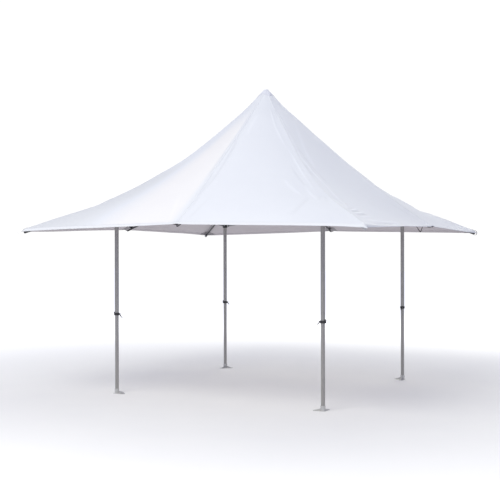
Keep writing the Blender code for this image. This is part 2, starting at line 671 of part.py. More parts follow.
def make_mast():
    """The mast: a tube with a slimmer upper half."""
    low = TRUSS_LOW - HUB_HEIGHT / 2 + HUB_FLOOR + SEAT
    high = MAST_HEAD_TOP - MAST_IN_HEAD
    thick, slim = eight_sided(MAST_WIDTH, MAST_CUT), eight_sided(MAST_UPPER_WIDTH, MAST_UPPER_CUT)
    thick_in = eight_sided(*inset(MAST_WIDTH, MAST_CUT, WALL))
    slim_in = eight_sided(*inset(MAST_UPPER_WIDTH, MAST_UPPER_CUT, WALL))
    inner_step = MAST_STEP - 2 * WALL
    outside = [(thick, low), (thick, MAST_STEP), (slim, MAST_STEP + WALL / 2), (slim, high)]
    inside = [(slim_in, high), (slim_in, inner_step + WALL / 2), (thick_in, inner_step), (thick_in, low)]
    shape = sleeve(outside + inside)
    return as_object("mast", shape, "truss_aluminium")


def make_mast_head():
    """The rounded head that the roof hangs on."""
    top = MAST_HEAD_TOP
    rim, foot = top - MAST_HEAD_RIM, top - MAST_HEAD_RIM - MAST_HEAD_SKIRT
    crown, fall = MAST_HEAD_CROWN
    cap = [(0, top), (MAST_HEAD_FLAT, top), (crown, top - fall), (MAST_HEAD_RADIUS, rim)]
    under = [(MAST_HEAD_RADIUS, rim - 3 * ROOT), (MAST_HEAD_NECK + ROOT, rim - 4 * ROOT)]
    profile = [*cap, *under, (MAST_HEAD_NECK, foot), (0, foot)]
    head = as_object("mast_head", turned(profile, 24), "black_nylon", round_from=40)
    width, cut = MAST_UPPER_WIDTH + 2 * SEAT, MAST_UPPER_CUT
    mast_end = top - MAST_IN_HEAD + SEAT
    socket = as_object("mast_head_socket", prism(eight_sided(width, cut), foot - PAST, mast_end))
    return combine(head, [socket], "DIFFERENCE")


def build():
    for thing in list(bpy.data.objects):
        bpy.data.objects.remove(thing, do_unlink=True)
    make_canopy()
    make_mast()
    make_mast_head()
    make_hub("hub_high", TRUSS_HIGH, TRUSS_LOW, right_side=True, floor=None)
    make_hub("hub_low", TRUSS_LOW, TRUSS_HIGH, right_side=False, floor=TRUSS_LOW - HUB_HEIGHT / 2 + HUB_FLOOR)
    for side, quarter in SIDES.items():
        turn = quarter * pi / 2
        make_high_chevron(side, turn)
        make_low_chevron(side, turn)
        place(make_arm("side_arm_" + side, *side_arm_line()), turn=turn)
    for corner, (sx, sy) in SIGNS.items():
        position = (sx * LEG_HALF, sy * LEG_HALF, 0)
        lever_turn = LEVER_TURN[corner] * pi / 2
        make_outer_leg(corner, position)
        make_inner_leg(corner, position)
        make_foot(corner, position, turn=atan2(-sy, -sx) - pi / 4)
        make_clamp(corner, position, lever_turn)
        make_lever(corner, position, lever_turn)
        make_slider(corner, position)
        make_top_bracket(corner, position)
        make_arm("corner_arm_" + corner, *corner_arm_line(corner))


build()
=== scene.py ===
"""Pop-up canopy tent: the sewn roof, the dressed frame and the finishes.

Metres, +Z up. The origin is on the ground under the mast. The front of the tent faces -Y.
"""

import json
import random
from functools import cache, partial
from math import atan2, cos, exp, hypot, pi, radians, sin, sqrt

import bmesh
import bpy
from mathutils import Matrix, Vector, noise
from mathutils.bvhtree import BVHTree

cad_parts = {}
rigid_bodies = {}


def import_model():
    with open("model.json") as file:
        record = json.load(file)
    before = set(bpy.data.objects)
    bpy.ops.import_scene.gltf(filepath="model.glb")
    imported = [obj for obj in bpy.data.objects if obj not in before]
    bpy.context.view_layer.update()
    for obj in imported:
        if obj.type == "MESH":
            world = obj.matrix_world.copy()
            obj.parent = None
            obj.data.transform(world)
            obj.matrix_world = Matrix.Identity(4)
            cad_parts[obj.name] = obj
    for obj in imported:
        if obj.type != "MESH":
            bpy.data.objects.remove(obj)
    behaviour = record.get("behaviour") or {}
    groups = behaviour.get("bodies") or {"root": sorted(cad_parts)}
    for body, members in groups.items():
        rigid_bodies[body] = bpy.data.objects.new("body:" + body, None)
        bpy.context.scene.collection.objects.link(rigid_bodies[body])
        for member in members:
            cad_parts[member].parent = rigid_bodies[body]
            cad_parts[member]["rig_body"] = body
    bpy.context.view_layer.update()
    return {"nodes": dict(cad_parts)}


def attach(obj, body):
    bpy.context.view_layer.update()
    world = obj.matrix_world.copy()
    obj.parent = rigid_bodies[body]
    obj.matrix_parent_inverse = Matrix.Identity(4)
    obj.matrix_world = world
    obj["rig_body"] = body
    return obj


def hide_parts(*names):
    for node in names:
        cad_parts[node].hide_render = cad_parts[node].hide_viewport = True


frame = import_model()

# Plan and heights of the tent, as in the frame
LEG_HALF = 1.5
LEG_REACH = LEG_HALF * sqrt(2)
CORNER = 2.384
CORNER_REACH = CORNER * sqrt(2)
SIDE_REACH = 2.404
PEAK = 4.185
LEG_HEAD = 2.645
CORNER_EAVE = 2.170
SIDE_EAVE = 2.228
CLAMP = 1.067
TRUSS_HIGH = 2.540
TRUSS_LOW = 2.310
PEAK_FLAT = 0.025
UPPER_SAG = 0.125
LOWER_SAG = 0.020
SIDE_SAG = 0.105
UP = Vector((0, 0, 1))
SIGNS = {"front_left": (-1, -1), "front_right": (1, -1), "back_right": (1, 1), "back_left": (-1, 1)}
SIDES = {"front": 0, "right": 1, "back": 2, "left": 3}  # quarter turns from the front
FRONT_RIGHT = ((0, True), (1, False))  # the half gores on either side of the front right ridge
BACK_RIGHT = ((1, True), (2, False))  # and of the back right ridge

# Roof cloth: its mesh
CLOTH = 0.0009
COLUMNS = (108, 104, 64, 64)  # along each eave, from the front round
RINGS = 78
FINER = {  # by side, the (low, high) columns and rings of areas with folds, which are divided once more
    0: (((0.80, 1.0), (0.05, 0.97)), ((0.455, 0.58), (0.05, 0.97))),
    1: (((0.0, 0.12), (0.05, 0.97)), ((0.015, 0.19), (0.70, 0.88)), ((0.02, 0.18), (0.71, 0.87))),
}
CROWDING = 0.62  # how far the columns crowd towards the seams and ridges
RING_CROWDING = 0.50  # and the rings towards the mast head and the eave
GORE_MERGE = 0.00005  # points of neighbouring gores that lie this close become one
RIM_DROP = 0.01  # how far below the peak a rim on the mast head lies at most
GORE_SPACING = 5.0  # from the middle of one gore to the next in the sheet coordinates
GORE_LENGTH = 3.0

# Roof cloth: how it hangs. Shares run from 0 at the mast head to 1 at the eave
ROUND_TOP = 0.20  # share over which it turns from a round cone into four sides with ridges
FRONT_RIGHT_ROUND = 0.32  # and over which it does beside the front right ridge
RIDGE_EDGE = 0.035  # width of the soft edge of a ridge further down
BULGES = (0.12, -0.06, 0.05, 0.05)  # curvature of each side's half gores, from the front round, per metre
EAVE_TAUT = 12  # how suddenly that curvature dies out towards the taut eave
SEAM_TAUT = (0.065, -0.012, 0.0, 0.0)  # how much less each middle seam sags, in metres, than the frame's
NECK_DIP = 0.018  # how far the cloth dips just below the mast head
NECK_PLACE = 0.090  # share at which that dip is deepest
NECK_SPREAD = 0.065
# Each eave's rise and tilt, from the front round
EAVE_SHIFTS = ((0.007, 0.002), (-0.003, -0.006), (-0.006, -0.004), (0.001, -0.008))
# Dips of a ridge below the frame's plain curve, and those that a slack ridge has besides: depth, reach,
# spread and the power that shapes them. A negative depth is a rise
RIDGE_DIPS = ((0.010, 1.78, 0.20, 2), (0.008, 2.40, 0.10, 2), (0.018, 1.28, 0.26, 2))
SLACK_DIPS = ((-0.026, 1.10, 0.42, 4), (0.018, 1.83, 0.16, 2), (0.016, 2.37, 0.15, 2))
TIP_LIFT = 0.024  # how far the ends of the corner arms push up the ridges above them
TIP_FROM = 2.45  # reach at which that begins
TIP_RUN = 0.55
NOSE_RUN = 0.014  # share over which the cloth comes down again over an arm's end
LEAN = 0.041  # how far the front left ridge is drawn in towards the right
LEAN_WAY = Vector((0.887, 0.462, 0.0))
LEAN_SPREAD = 0.5  # how suddenly that dies out away from the ridge
LEAN_FADE = 0.85  # part of it that dies out there
LEAN_RUN = 0.55  # share of the roof that leans
# Slow waves: how many to the metre, how high, and at which level of the noise
WAVES = ((0.9, 0.0060, 4.0), (2.3, 0.0022, 9.0))
PLEAT = 0.0011  # height of the small pleats round the mast head
ARM_PUSH = 0.009  # how far the end of a side arm pushes up the eave

# What is sewn on the roof
SLOPE = 3.05  # length of the cloth down the middle of a side
SEAM_WIDTH = 0.028
SEAM_PROUD = 0.0014
SEAM_UNDER = -CLOTH - 0.0004  # where the inner tapes lie from the roof's outside
SEAM_THICK = 0.0011
SEAM_STITCHES = (0.2 * SEAM_WIDTH, 0.8 * SEAM_WIDTH)  # the rows, from an edge
TAPE_FROM = 0.030  # share at which the tapes begin below the mast head
TAPE_RUN = 0.9555
TAPE_LENGTH = 3.4
HEM_WIDTH = 0.042
HEM_PROUD = 0.0010
HEM_STITCHES = (0.12 * HEM_WIDTH, 0.88 * HEM_WIDTH)
STITCH = 0.0034  # from one stitch to the next
THREAD = 0.0006  # half of a row's width
DOUBLING = 0.0010  # thickness of the patches and pockets
UNDERNEATH = -CLOTH - 0.0016  # and where these lie
HEAD_PATCH_UNDER = -CLOTH - 0.0014
PEAK_PATCH_FROM = 0.0005  # share at which the patch on the peak begins
PEAK_PATCH_RUN = 0.034
PEAK_PATCH_PROUD = 0.0030
PEAK_PATCH_THICK = 0.0012
# The tie strap's ends in plan, and the bottom of the V in which it hangs
STRAP_ENDS = ((1.467, 1.595), (1.800, 1.755))
STRAP_LOW = Vector((1.707, 1.720, 2.182))
STRAP_WIDTH = 0.010

# Painted light and shade on the cloth
FOLD_PAINTED_LIGHT = 11.0  # how much paler a fold's crest is painted, and darker its hollow, per metre of its height: painted highlight and painted shade
# Painted shade and painted light on the cloth's colour, by the value of its attribute, from painted shade
# through none to painted light
PANEL_PAINTED_LIGHT = ((0.0, (0.925, 0.920, 0.905)), (0.5, (1.0, 1.0, 1.0)), (1.0, (1.10, 1.06, 1.01)))

# Arms, as in the frame
ARM_RADIUS = 0.0125
CAP_RADIUS = 0.0165
CAP_LENGTH = 0.085
CAP_STEP = 0.002
ARM_START = 0.040
ARM_BELOW = 0.0046  # the frame's cloth and its clearance over an arm's cap
SLOPE_RUN = 0.050  # along which the roof's slope over an arm's end is taken
CORNER_ARM_END = 0.034
SIDE_ARM_END = 0.020
CORNER_CREASE = 0.36
SIDE_CREASE = 0.10
# How far out the nose of each corner tab lies, and how far it hangs down
TAB_NOSES = {"front_left": (3.415, 0.012), "back_right": (3.374, 0.0), "back_left": (3.385, 0.004)}
TAB_WIDTH = 0.025
TAB_ON_ROOF = (3.290, 3.310, 3.330)  # reaches at which a tab lies on the roof
TAB_BEND = 3.335  # reach at which a tab begins to bend down over the arm's end
TAB_END = 3.310  # reach at which it ends under the arm

# Legs and trusses, as in the frame
SOCKET_WIDTH = 0.053
CLAMP_WIDTH = 0.061
BOSS_THICKNESS = 0.009
LEVER_PIVOT = 0.0415
LEVER_DROP = radians(48)  # of a lever below the level
LEVER_LENGTH = 0.046
LEVER_THICKNESS = 0.007
EAR_FACE = 0.0136  # an ear's outer face from the lever's middle
LEVER_TURN = {"front_left": 0, "front_right": 2, "back_right": 3, "back_left": 0}  # quarter turns from +X
# A lever's pin, and the directions along the lever and out of its face, on a clamp that isn't turned
LEVER_PIN = Vector((LEVER_PIVOT, 0, CLAMP))
LEVER_WAY = Vector((cos(LEVER_DROP), 0, -sin(LEVER_DROP)))
LEVER_UP = Vector((sin(LEVER_DROP), 0, cos(LEVER_DROP)))
BRACKET_WIDTH = 0.067
PIVOT = LEG_HALF - 0.055  # the scissors' end pivots from the middle of a side
BAR_FACE = 0.0142  # outer face of either layer of bars from the plane between them
LUG_FACE = 0.0111
JOINT_FACE = 0.0202  # of the upper side joint
HUB_FACE = 0.045
MAST_STEP = 3.150
TRUSS_MIDDLE = (TRUSS_HIGH + TRUSS_LOW) / 2
HUB_START = 0.030  # from the mast's axis to where the inner bars' lines begin
BOLT = 0.013  # across the flats of a hexagon
SMALL_BOLT = 0.009
# The frame's pieces at each corner: name, look, width of the rounded edges and steps in their rounding
CORNER_PIECES = (
    ("outer_leg_", "leg", 0.0022, 3),
    ("inner_leg_", "leg", 0.0016, 2),
    ("foot_", "foot", 0.0012, 2),
    ("clamp_", "nylon", 0.0012, 2),
    ("clamp_lever_", "nylon", 0.0010, 2),
    ("slider_", "nylon", 0.0016, 2),
    ("top_bracket_", "nylon", 0.0012, 2),
)

# Stage
FLOOR_REACH = 60.0
FLOOR_GLOW = 0.08  # of the floor under the tent
FAR_GLOW = 0.62  # and far from it, where it meets the white surround
GLOW_FROM = 3.0  # distance from the mast at which the glow begins to grow
GLOW_TO = 11.0
SURROUND = 1.05  # how bright the white surround shows
SKY_COLOUR = (0.80, 0.825, 1.0)
SKY_STRENGTH = 0.575
# Lamps: name, position, width, watts and colour
LAMPS = (
    ("front_light", (0, -9, 9), 7, 670, (1.0, 0.985, 0.87)),
    ("back_light", (0, 10, 9), 8, 447, (1.0, 0.98, 0.80)),
)
LAMP_AIM = Vector((0, 0, 2.2))
CAMERA_PLACE = (5.876, -11.796, 1.962)
CAMERA_TURN = 0.47979  # radians to the left of looking along +Y
CAMERA_TILT = 0.00306  # downwards
CAMERA_ROLL = 0.00168
LENS = 67.19


# Finishes

def feed(made, **values):
    """Gives a node its settings and inputs by name. The output of another node is linked."""
    for key, value in values.items():
        name = key.replace("_", " ")
        if isinstance(value, bpy.types.NodeSocket):
            made.id_data.links.new(value, made.inputs[name])
        elif hasattr(made, key):
            setattr(made, key, value)
        else:
            made.inputs[name].default_value = value
    return made


def node(tree, kind, **values):
    """A new node with its settings and inputs."""
    return feed(tree.nodes.new("ShaderNode" + kind), **values)


def finish(name, colour, roughness, metallic=0.0, specular=0.5, **more):
    """A new finish: its node tree and its shader, with the even values set on the shader itself."""
    material = bpy.data.materials.new(name)
    material.use_nodes = True
    shader = material.node_tree.nodes["Principled BSDF"]
    feed(shader, Base_Color=(*colour, 1.0), Roughness=roughness, Metallic=metallic,
         Specular_IOR_Level=specular, **more)
    return material, material.node_tree, shader


def coordinates(tree, source="Object", scale=(1, 1, 1)):
    """The piece's own place or sheet coordinates, stretched by a scale."""
    place = node(tree, "TexCoord").outputs[source]
    return node(tree, "Mapping", Vector=place, Scale=scale).outputs["Vector"]


def speckle(tree, at, size, detail=3.0, rough=0.5):
    """Noise whose blotches are about that size, in metres."""
    return node(tree, "TexNoise", Vector=at, Scale=1.0 / size, Detail=detail, Roughness=rough).outputs["Fac"]


def ramp(tree, value, *stops):
    """Colours at positions along a value."""
    made = node(tree, "ValToRGB", Fac=value)
    elements = made.color_ramp.elements
    while len(elements) < len(stops):
        elements.new(0.5)
    for element, (position, colour) in zip(elements, stops):
        element.position = position
        element.color = (*colour, 1.0)
    return made.outputs["Color"]


def spread(tree, value, low, high):
    """A 0 to 1 value brought to a range."""
    return node(tree, "MapRange", Value=value, To_Min=low, To_Max=high).outputs["Result"]


def sums(tree, operation, first, second=0.0):
    """What an operation makes of one or two values, either of which may be a plain number."""
    made = node(tree, "Math", operation=operation)
    for socket, value in zip(made.inputs, (first, second)):
        if isinstance(value, (int, float)):
            socket.default_value = value
        else:
            tree.links.new(value, socket)
    return made.outputs["Value"]


def blend(tree, first, second, share):
    """Two values added up, the first with a share of the weight and the second with the rest."""
    return sums(tree, "ADD", sums(tree, "MULTIPLY", first, share), sums(tree, "MULTIPLY", second, 1 - share))


def raised(tree, shader, height, depth, strength=1.0):
    """Relief from a height value. Reliefs that are added one after the other pile up."""
    bump = node(tree, "Bump", Height=height, Distance=depth, Strength=strength)
    before = shader.inputs["Normal"].links
    if before:
        feed(bump, Normal=before[0].from_socket)
    feed(shader, Normal=bump.outputs["Normal"])


def threads(tree, at, way, scale, distortion=0.0):
    """Height of rows of threads that follow each other along a way."""
    return node(tree, "TexWave", wave_type="BANDS", bands_direction=way, Vector=at, Scale=scale,
                Distortion=distortion).outputs["Fac"]


def weave(tree, at, pitch=0.0009):
    """Height of a plain weave with that pitch, from the crossing of two rows of threads."""
    scale = 0.5 / (pi * pitch)
    return sums(tree, "MULTIPLY", threads(tree, at, "X", scale), threads(tree, at, "Y", scale))


def cloth_finish(name, colour, shade, pitch=0.0009, with_painted_light=False):
    """Coated polyester: a fine weave, faint cloudiness and small stretched puckers.

    A cloth with painted light has a painted highlight along the crests of its folds and painted shade in
    their hollows, and painted light and painted shade on its panels as their attribute says.
    """
    roughness = 0.68
    material, tree, shader = finish(name, colour, roughness, specular=0.3, Sheen_Weight=0.08,
                                    Sheen_Roughness=0.5)
    sheet = coordinates(tree, "UV")
    fine = speckle(tree, sheet, 0.012, detail=2.0)
    cloud = speckle(tree, sheet, 0.55, detail=4.0, rough=0.55)
    tone_and_painted_light = ramp(tree, blend(tree, cloud, fine, 0.8), (0.30, shade), (0.66, colour))
    if with_painted_light:
        panel_light_and_shade = node(tree, "Attribute", attribute_name="panel_light_and_shade").outputs["Fac"]
        # Painted light beside the front's middle seam and painted shade further out on its left half, from
        # the attribute
        painted_panel_colour = node(tree, "VectorMath", operation="MULTIPLY", Vector=tone_and_painted_light)
        tree.links.new(ramp(tree, panel_light_and_shade, *PANEL_PAINTED_LIGHT), painted_panel_colour.inputs[1])
        # Painted highlight along the crests of the folds and painted shade in their hollows, by each fold's
        # height
        fold = node(tree, "Attribute", attribute_name="fold").outputs["Fac"]
        wear_and_painted_light = sums(tree, "ADD", sums(tree, "MULTIPLY", fold, FOLD_PAINTED_LIGHT), 1.0)
        rubbed_and_painted_light = node(tree, "VectorMath", operation="SCALE", Vector=painted_panel_colour.outputs["Vector"], Scale=wear_and_painted_light)
        tone_and_painted_light = rubbed_and_painted_light.outputs["Vector"]
    feed(shader, Base_Color=tone_and_painted_light, Roughness=spread(tree, fine, roughness - 0.06, roughness + 0.06))
    along_slope = coordinates(tree, "UV", scale=(1.0, 0.16, 1.0))
    raised(tree, shader, speckle(tree, along_slope, 0.060, detail=2.0, rough=0.45), 0.0022, 0.55)
    raised(tree, shader, weave(tree, sheet, pitch), 0.00012, 0.5)
    return material


def sewn_finish(name, colour, thread, rows):
    """A sewn strip of the same cloth, with rows of stitches at distances from its edge."""
    material, tree, shader = finish(name, colour, 0.7, specular=0.3)
    sheet = coordinates(tree, "UV")
    split = node(tree, "SeparateXYZ", Vector=sheet)
    step = sums(tree, "FRACT", sums(tree, "DIVIDE", split.outputs["Y"], STITCH))
    dash = sums(tree, "LESS_THAN", sums(tree, "ABSOLUTE", sums(tree, "SUBTRACT", step, 0.5)), 0.36)
    total = 0.0
    for row in rows:
        off = sums(tree, "ABSOLUTE", sums(tree, "SUBTRACT", split.outputs["X"], row))
        line = sums(tree, "MULTIPLY", sums(tree, "LESS_THAN", off, THREAD), dash)
        total = sums(tree, "ADD", line, total)
    feed(shader, Base_Color=ramp(tree, total, (0.0, colour), (1.0, thread)))
    raised(tree, shader, total, 0.0005, 0.8)
    raised(tree, shader, speckle(tree, sheet, 0.018, detail=2.0), 0.0008, 0.6)
    raised(tree, shader, weave(tree, sheet), 0.00012, 0.5)
    return material


def drawn_metal(name, colour, shade, roughness, along=(90.0, 90.0, 1.4)):
    """Anodised tube: fine drawing lines along it, soft patches and small marks."""
    material, tree, shader = finish(name, colour, roughness, metallic=1.0)
    at = coordinates(tree)
    lines = speckle(tree, coordinates(tree, scale=along), 0.25, detail=4.0, rough=0.7)
    mixed = blend(tree, lines, speckle(tree, at, 0.09, rough=0.6), 0.55)
    feed(shader, Base_Color=ramp(tree, mixed, (0.32, shade), (0.62, colour)),
         Roughness=spread(tree, mixed, roughness - 0.10, roughness + 0.12))
    raised(tree, shader, lines, 0.00025, 0.35)
    raised(tree, shader, speckle(tree, at, 0.004, detail=2.0), 0.00008, 0.4)
    return material


def moulded(name, colour, wear_and_painted_light, roughness):
    """Moulded nylon: a fine spark-eroded grain and slightly paler rubbed patches."""
    material, tree, shader = finish(name, colour, roughness)
    at = coordinates(tree)
    rubbed_and_painted_light = speckle(tree, at, 0.03, detail=5.0, rough=0.65)
    feed(shader, Base_Color=ramp(tree, rubbed_and_painted_light, (0.45, colour), (0.75, wear_and_painted_light)),
         Roughness=spread(tree, rubbed_and_painted_light, roughness - 0.08, roughness + 0.14))
    raised(tree, shader, speckle(tree, at, 0.0011, detail=2.0), 0.00012, 0.6)
    return material


def powder_coat(name, colour, wear_and_painted_light, roughness):
    """Powder coat: the low dimples of orange peel, with small chips of wear."""
    material, tree, shader = finish(name, colour, roughness, Coat_Weight=0.15, Coat_Roughness=0.3)
    at = coordinates(tree)
    chips = speckle(tree, at, 0.014, detail=6.0, rough=0.7)
    feed(shader, Base_Color=ramp(tree, chips, (0.62, colour), (0.78, wear_and_painted_light)))
    raised(tree, shader, speckle(tree, at, 0.0022, detail=1.0), 0.00016, 0.6)
    return material


def cast_metal(name, colour, shade, roughness):
    """Plain casting: sandy skin, with dull and bright areas."""
    material, tree, shader = finish(name, colour, roughness, metallic=0.85)
    at = coordinates(tree)
    dull = speckle(tree, at, 0.035, detail=5.0, rough=0.7)
    feed(shader, Base_Color=ramp(tree, dull, (0.35, shade), (0.62, colour)),
         Roughness=spread(tree, dull, roughness - 0.1, roughness + 0.15))
    raised(tree, shader, speckle(tree, at, 0.0016), 0.00022, 0.7)
    return material


def webbing(name, colour, shade):
    """Woven strap: ribs across it and a fine thread along it."""
    material, tree, shader = finish(name, colour, 0.8, specular=0.25, Sheen_Weight=0.2)
    at = coordinates(tree, "UV")
    mixed = sums(tree, "MULTIPLY", threads(tree, at, "Y", 90.0, 0.3), threads(tree, at, "X", 150.0))
    feed(shader, Base_Color=ramp(tree, mixed, (0.1, shade), (0.7, colour)))
    raised(tree, shader, mixed, 0.0004, 0.7)
    return material


def pale_floor():
    """Plain pale studio floor with a very faint mottle, which glows more the further it is from the tent."""
    material, tree, shader = finish("pale_floor", (0.90, 0.90, 0.90), 0.85, specular=0.1,
                                    Emission_Color=(1.0, 1.0, 1.0, 1.0))
    at = coordinates(tree)
    mottle = ramp(tree, speckle(tree, at, 0.7), (0.3, (0.895, 0.895, 0.90)), (0.7, (0.91, 0.91, 0.91)))
    away = node(tree, "VectorMath", operation="LENGTH", Vector=at).outputs["Value"]
    glow = node(tree, "MapRange", interpolation_type="SMOOTHSTEP", Value=away, From_Min=GLOW_FROM,
                From_Max=GLOW_TO, To_Min=FLOOR_GLOW, To_Max=FAR_GLOW).outputs["Result"]
    seen = node(tree, "LightPath").outputs["Is Camera Ray"]
    feed(shader, Base_Color=mottle, Emission_Strength=sums(tree, "MULTIPLY", glow, seen))
    return material


FINISH = {
    "roof": cloth_finish("roof_cloth_outside_painted_light", (0.80, 0.825, 0.885), (0.785, 0.81, 0.872), with_painted_light=True),
    # The roof's inside is the outside's white cloth made darker and pinker: painted shade
    "roof_inside": cloth_finish("roof_cloth_inside_painted_shade", (0.72, 0.675, 0.69), (0.695, 0.65, 0.665)),
    "peak": cloth_finish("peak_patch_cloth", (0.765, 0.785, 0.868), (0.75, 0.77, 0.853)),
    # The pockets and patches under the roof are the same white cloth given a mid grey: painted shade
    "pocket": cloth_finish("pocket_cloth_painted_shade", (0.43, 0.41, 0.425), (0.40, 0.38, 0.395), pitch=0.0016),
    "seam": sewn_finish("roof_seam", (0.80, 0.825, 0.88), (0.86, 0.87, 0.90), SEAM_STITCHES),
    # The inner seam tapes are the same white cloth made darker: painted shade
    "seam_inside": sewn_finish("roof_seam_inside_painted_shade", (0.50, 0.48, 0.50), (0.6, 0.58, 0.6), SEAM_STITCHES),
    "hem": sewn_finish("roof_hem", (0.81, 0.83, 0.88), (0.87, 0.88, 0.91), HEM_STITCHES),
    # The hem's inside is the same white cloth made darker: painted shade
    "hem_inside": sewn_finish("roof_hem_inside_painted_shade", (0.66, 0.62, 0.64), (0.72, 0.69, 0.71), HEM_STITCHES),
    "white_web": webbing("white_webbing", (0.78, 0.78, 0.79), (0.6, 0.6, 0.62)),
    "dark_web": webbing("dark_webbing", (0.03, 0.03, 0.032), (0.015, 0.015, 0.016)),
    "leg": drawn_metal("leg_anodising", (0.455, 0.445, 0.43), (0.38, 0.372, 0.362), 0.42),
    "bar": drawn_metal("bar_anodising", (0.46, 0.46, 0.47), (0.39, 0.39, 0.40), 0.45, (6.0, 6.0, 60.0)),
    "nylon": moulded("dark_nylon", (0.028, 0.028, 0.031), (0.055, 0.055, 0.058), 0.5),
    "arm": powder_coat("arm_coating", (0.035, 0.035, 0.038), (0.09, 0.09, 0.09), 0.42),
    "foot": cast_metal("foot_casting_skin", (0.72, 0.72, 0.71), (0.60, 0.60, 0.59), 0.46),
    "zinc": cast_metal("zinc_plate", (0.62, 0.62, 0.63), (0.5, 0.5, 0.52), 0.3),
}
# The frame's slot for each look
SLOT = {
    **dict.fromkeys(FINISH, "roof_cloth"),
    "dark_web": "black_nylon",
    "leg": "leg_aluminium",
    "bar": "truss_aluminium",
    "nylon": "black_nylon",
    "arm": "dark_arm",
    "foot": "foot_casting",
    "zinc": "foot_casting",
}


# Making pieces

def new_piece(name, shape, look, body="frame", smooth=35):
    """A finished piece from a bmesh: shaded smooth but for edges over an angle, and riding on a body."""
    mesh = bpy.data.meshes.new(name)
    shape.to_mesh(mesh)
    shape.free()
    mesh.materials.append(FINISH[look])
    mesh.shade_smooth()
    if smooth:
        mesh.set_sharp_from_angle(angle=radians(smooth))
    piece = bpy.data.objects.new(name, mesh)
    bpy.context.scene.collection.objects.link(piece)
    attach(piece, body)
    return piece


def move(shape, position=(0, 0, 0), turn=0.0):
    """Turns a shape about Z and puts it at a position."""
    matrix = Matrix.Translation(position) @ Matrix.Rotation(turn, 4, "Z")
    bmesh.ops.transform(shape, matrix=matrix, verts=shape.verts)
    return shape


def point_at(shape, start, direction):
    """Turns a shape made up the Z axis so that it starts at a point and runs in a direction."""
    turn = UP.rotation_difference(Vector(direction).normalized()).to_matrix().to_4x4()
    bmesh.ops.transform(shape, matrix=Matrix.Translation(start) @ turn, verts=shape.verts)
    return shape


def together(*shapes):
    """Several shapes as one."""
    whole = bmesh.new()
    for shape in shapes:
        part = bpy.data.meshes.new("part")
        shape.to_mesh(part)
        shape.free()
        whole.from_mesh(part)
        bpy.data.meshes.remove(part)
    return whole


def rounded(shape, edges, width):
    """Rounds some edges of a shape."""
    bmesh.ops.bevel(shape, geom=edges, offset=width, segments=2, profile=0.5, affect="EDGES", material=-1)


def closed(shape):
    """Merges the doubles of a shape and turns its faces outwards."""
    bmesh.ops.remove_doubles(shape, verts=shape.verts, dist=1e-6)
    bmesh.ops.recalc_face_normals(shape, faces=shape.faces)
    return shape


def rod(radius, length, sides=24, edge=0.0):
    """A round rod up the Z axis from 0, with its rims rounded."""
    shape = bmesh.new()
    bmesh.ops.create_cone(shape, cap_ends=True, segments=sides, radius1=radius, radius2=radius, depth=length,
                          matrix=Matrix.Translation((0, 0, length / 2)))
    if edge:
        rims = [e for e in shape.edges if abs(e.verts[0].co.z - e.verts[1].co.z) < 1e-6]
        rounded(shape, rims, edge)
    return shape


def turned(profile, sides=32):
    """A solid of revolution about Z from (radius, height) points that begin and end on the axis."""
    shape = bmesh.new()
    points = [shape.verts.new((radius, 0, z)) for radius, z in profile]
    edges = [shape.edges.new((a, b)) for a, b in zip(points, points[1:])]
    bmesh.ops.spin(shape, geom=points + edges, cent=(0, 0, 0), axis=(0, 0, 1), angle=2 * pi, steps=sides,
                   use_merge=True)
    return closed(shape)


def hex_head(across, base):
    """A hexagon standing on a height, with its upper rim rounded."""
    head = rod(across / 2 / cos(pi / 6), across * 0.6, sides=6)
    rounded(head, [e for e in head.edges if all(v.co.z > across * 0.5 for v in e.verts)], across * 0.09)
    bmesh.ops.translate(head, vec=(0, 0, base), verts=head.verts)
    return head


def bolt(across):
    """A bolt's head on its washer, above 0 on the Z axis."""
    base = across * 0.12
    return together(rod(across * 0.95, base, sides=28, edge=base * 0.3), hex_head(across, base))


def nut(across):
    """A nut on its washer with the bolt's end standing out of it, above 0 on the Z axis."""
    return together(bolt(across), rod(across * 0.31, across * 0.95, sides=16, edge=across * 0.04))


def bolted(across, spot, way, front, back):
    """A bolt and its nut, whose faces lie so far in front of a spot and behind it, along a way."""
    spot, way = Vector(spot), Vector(way)
    return [(bolt(across), spot + front * way, way), (nut(across), spot - back * way, -way)]


def rivet(radius):
    """A domed rivet head above 0 on the Z axis."""
    dome = [(radius * cos(t), radius * 0.55 * sin(t)) for t in (0, pi / 8, pi / 4, 3 * pi / 8)]
    return turned([(0, -0.001), (radius, -0.001), *dome, (0, radius * 0.55)], 18)


def fasteners(name, made, look="zinc", on=None, turn=0.0, position=(0, 0, 0)):
    """Fasteners given as (shape, spot, direction), in one piece that is then turned about Z and moved.

    It rides on the body of a frame piece, or else on the frame.
    """
    shapes = [point_at(shape, spot, direction) for shape, spot, direction in made]
    body = frame["nodes"][on]["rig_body"] if on else "frame"
    return new_piece(name, move(together(*shapes), position, turn), look, body=body)


def dressed(name, look, edge, steps=2):
    """A copy of a frame piece with its edges rounded, which then stands for it."""
    source = frame["nodes"][name]
    shape = bmesh.new()
    shape.from_mesh(source.data)
    bmesh.ops.remove_doubles(shape, verts=shape.verts, dist=1e-5)
    bmesh.ops.dissolve_limit(shape, angle_limit=radians(0.6), verts=shape.verts, edges=shape.edges)
    piece = new_piece(name + "_finished", shape, look, body=source["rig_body"], smooth=None)
    bevel = piece.modifiers.new("rounding", "BEVEL")
    bevel.width = edge
    bevel.segments = steps
    bevel.limit_method = "ANGLE"
    bevel.angle_limit = radians(28)
    bevel.use_clamp_overlap = True
    bevel.harden_normals = False
    shading = piece.modifiers.new("shading", "WEIGHTED_NORMAL")
    shading.keep_sharp = True
    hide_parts(name)


# Roof surface

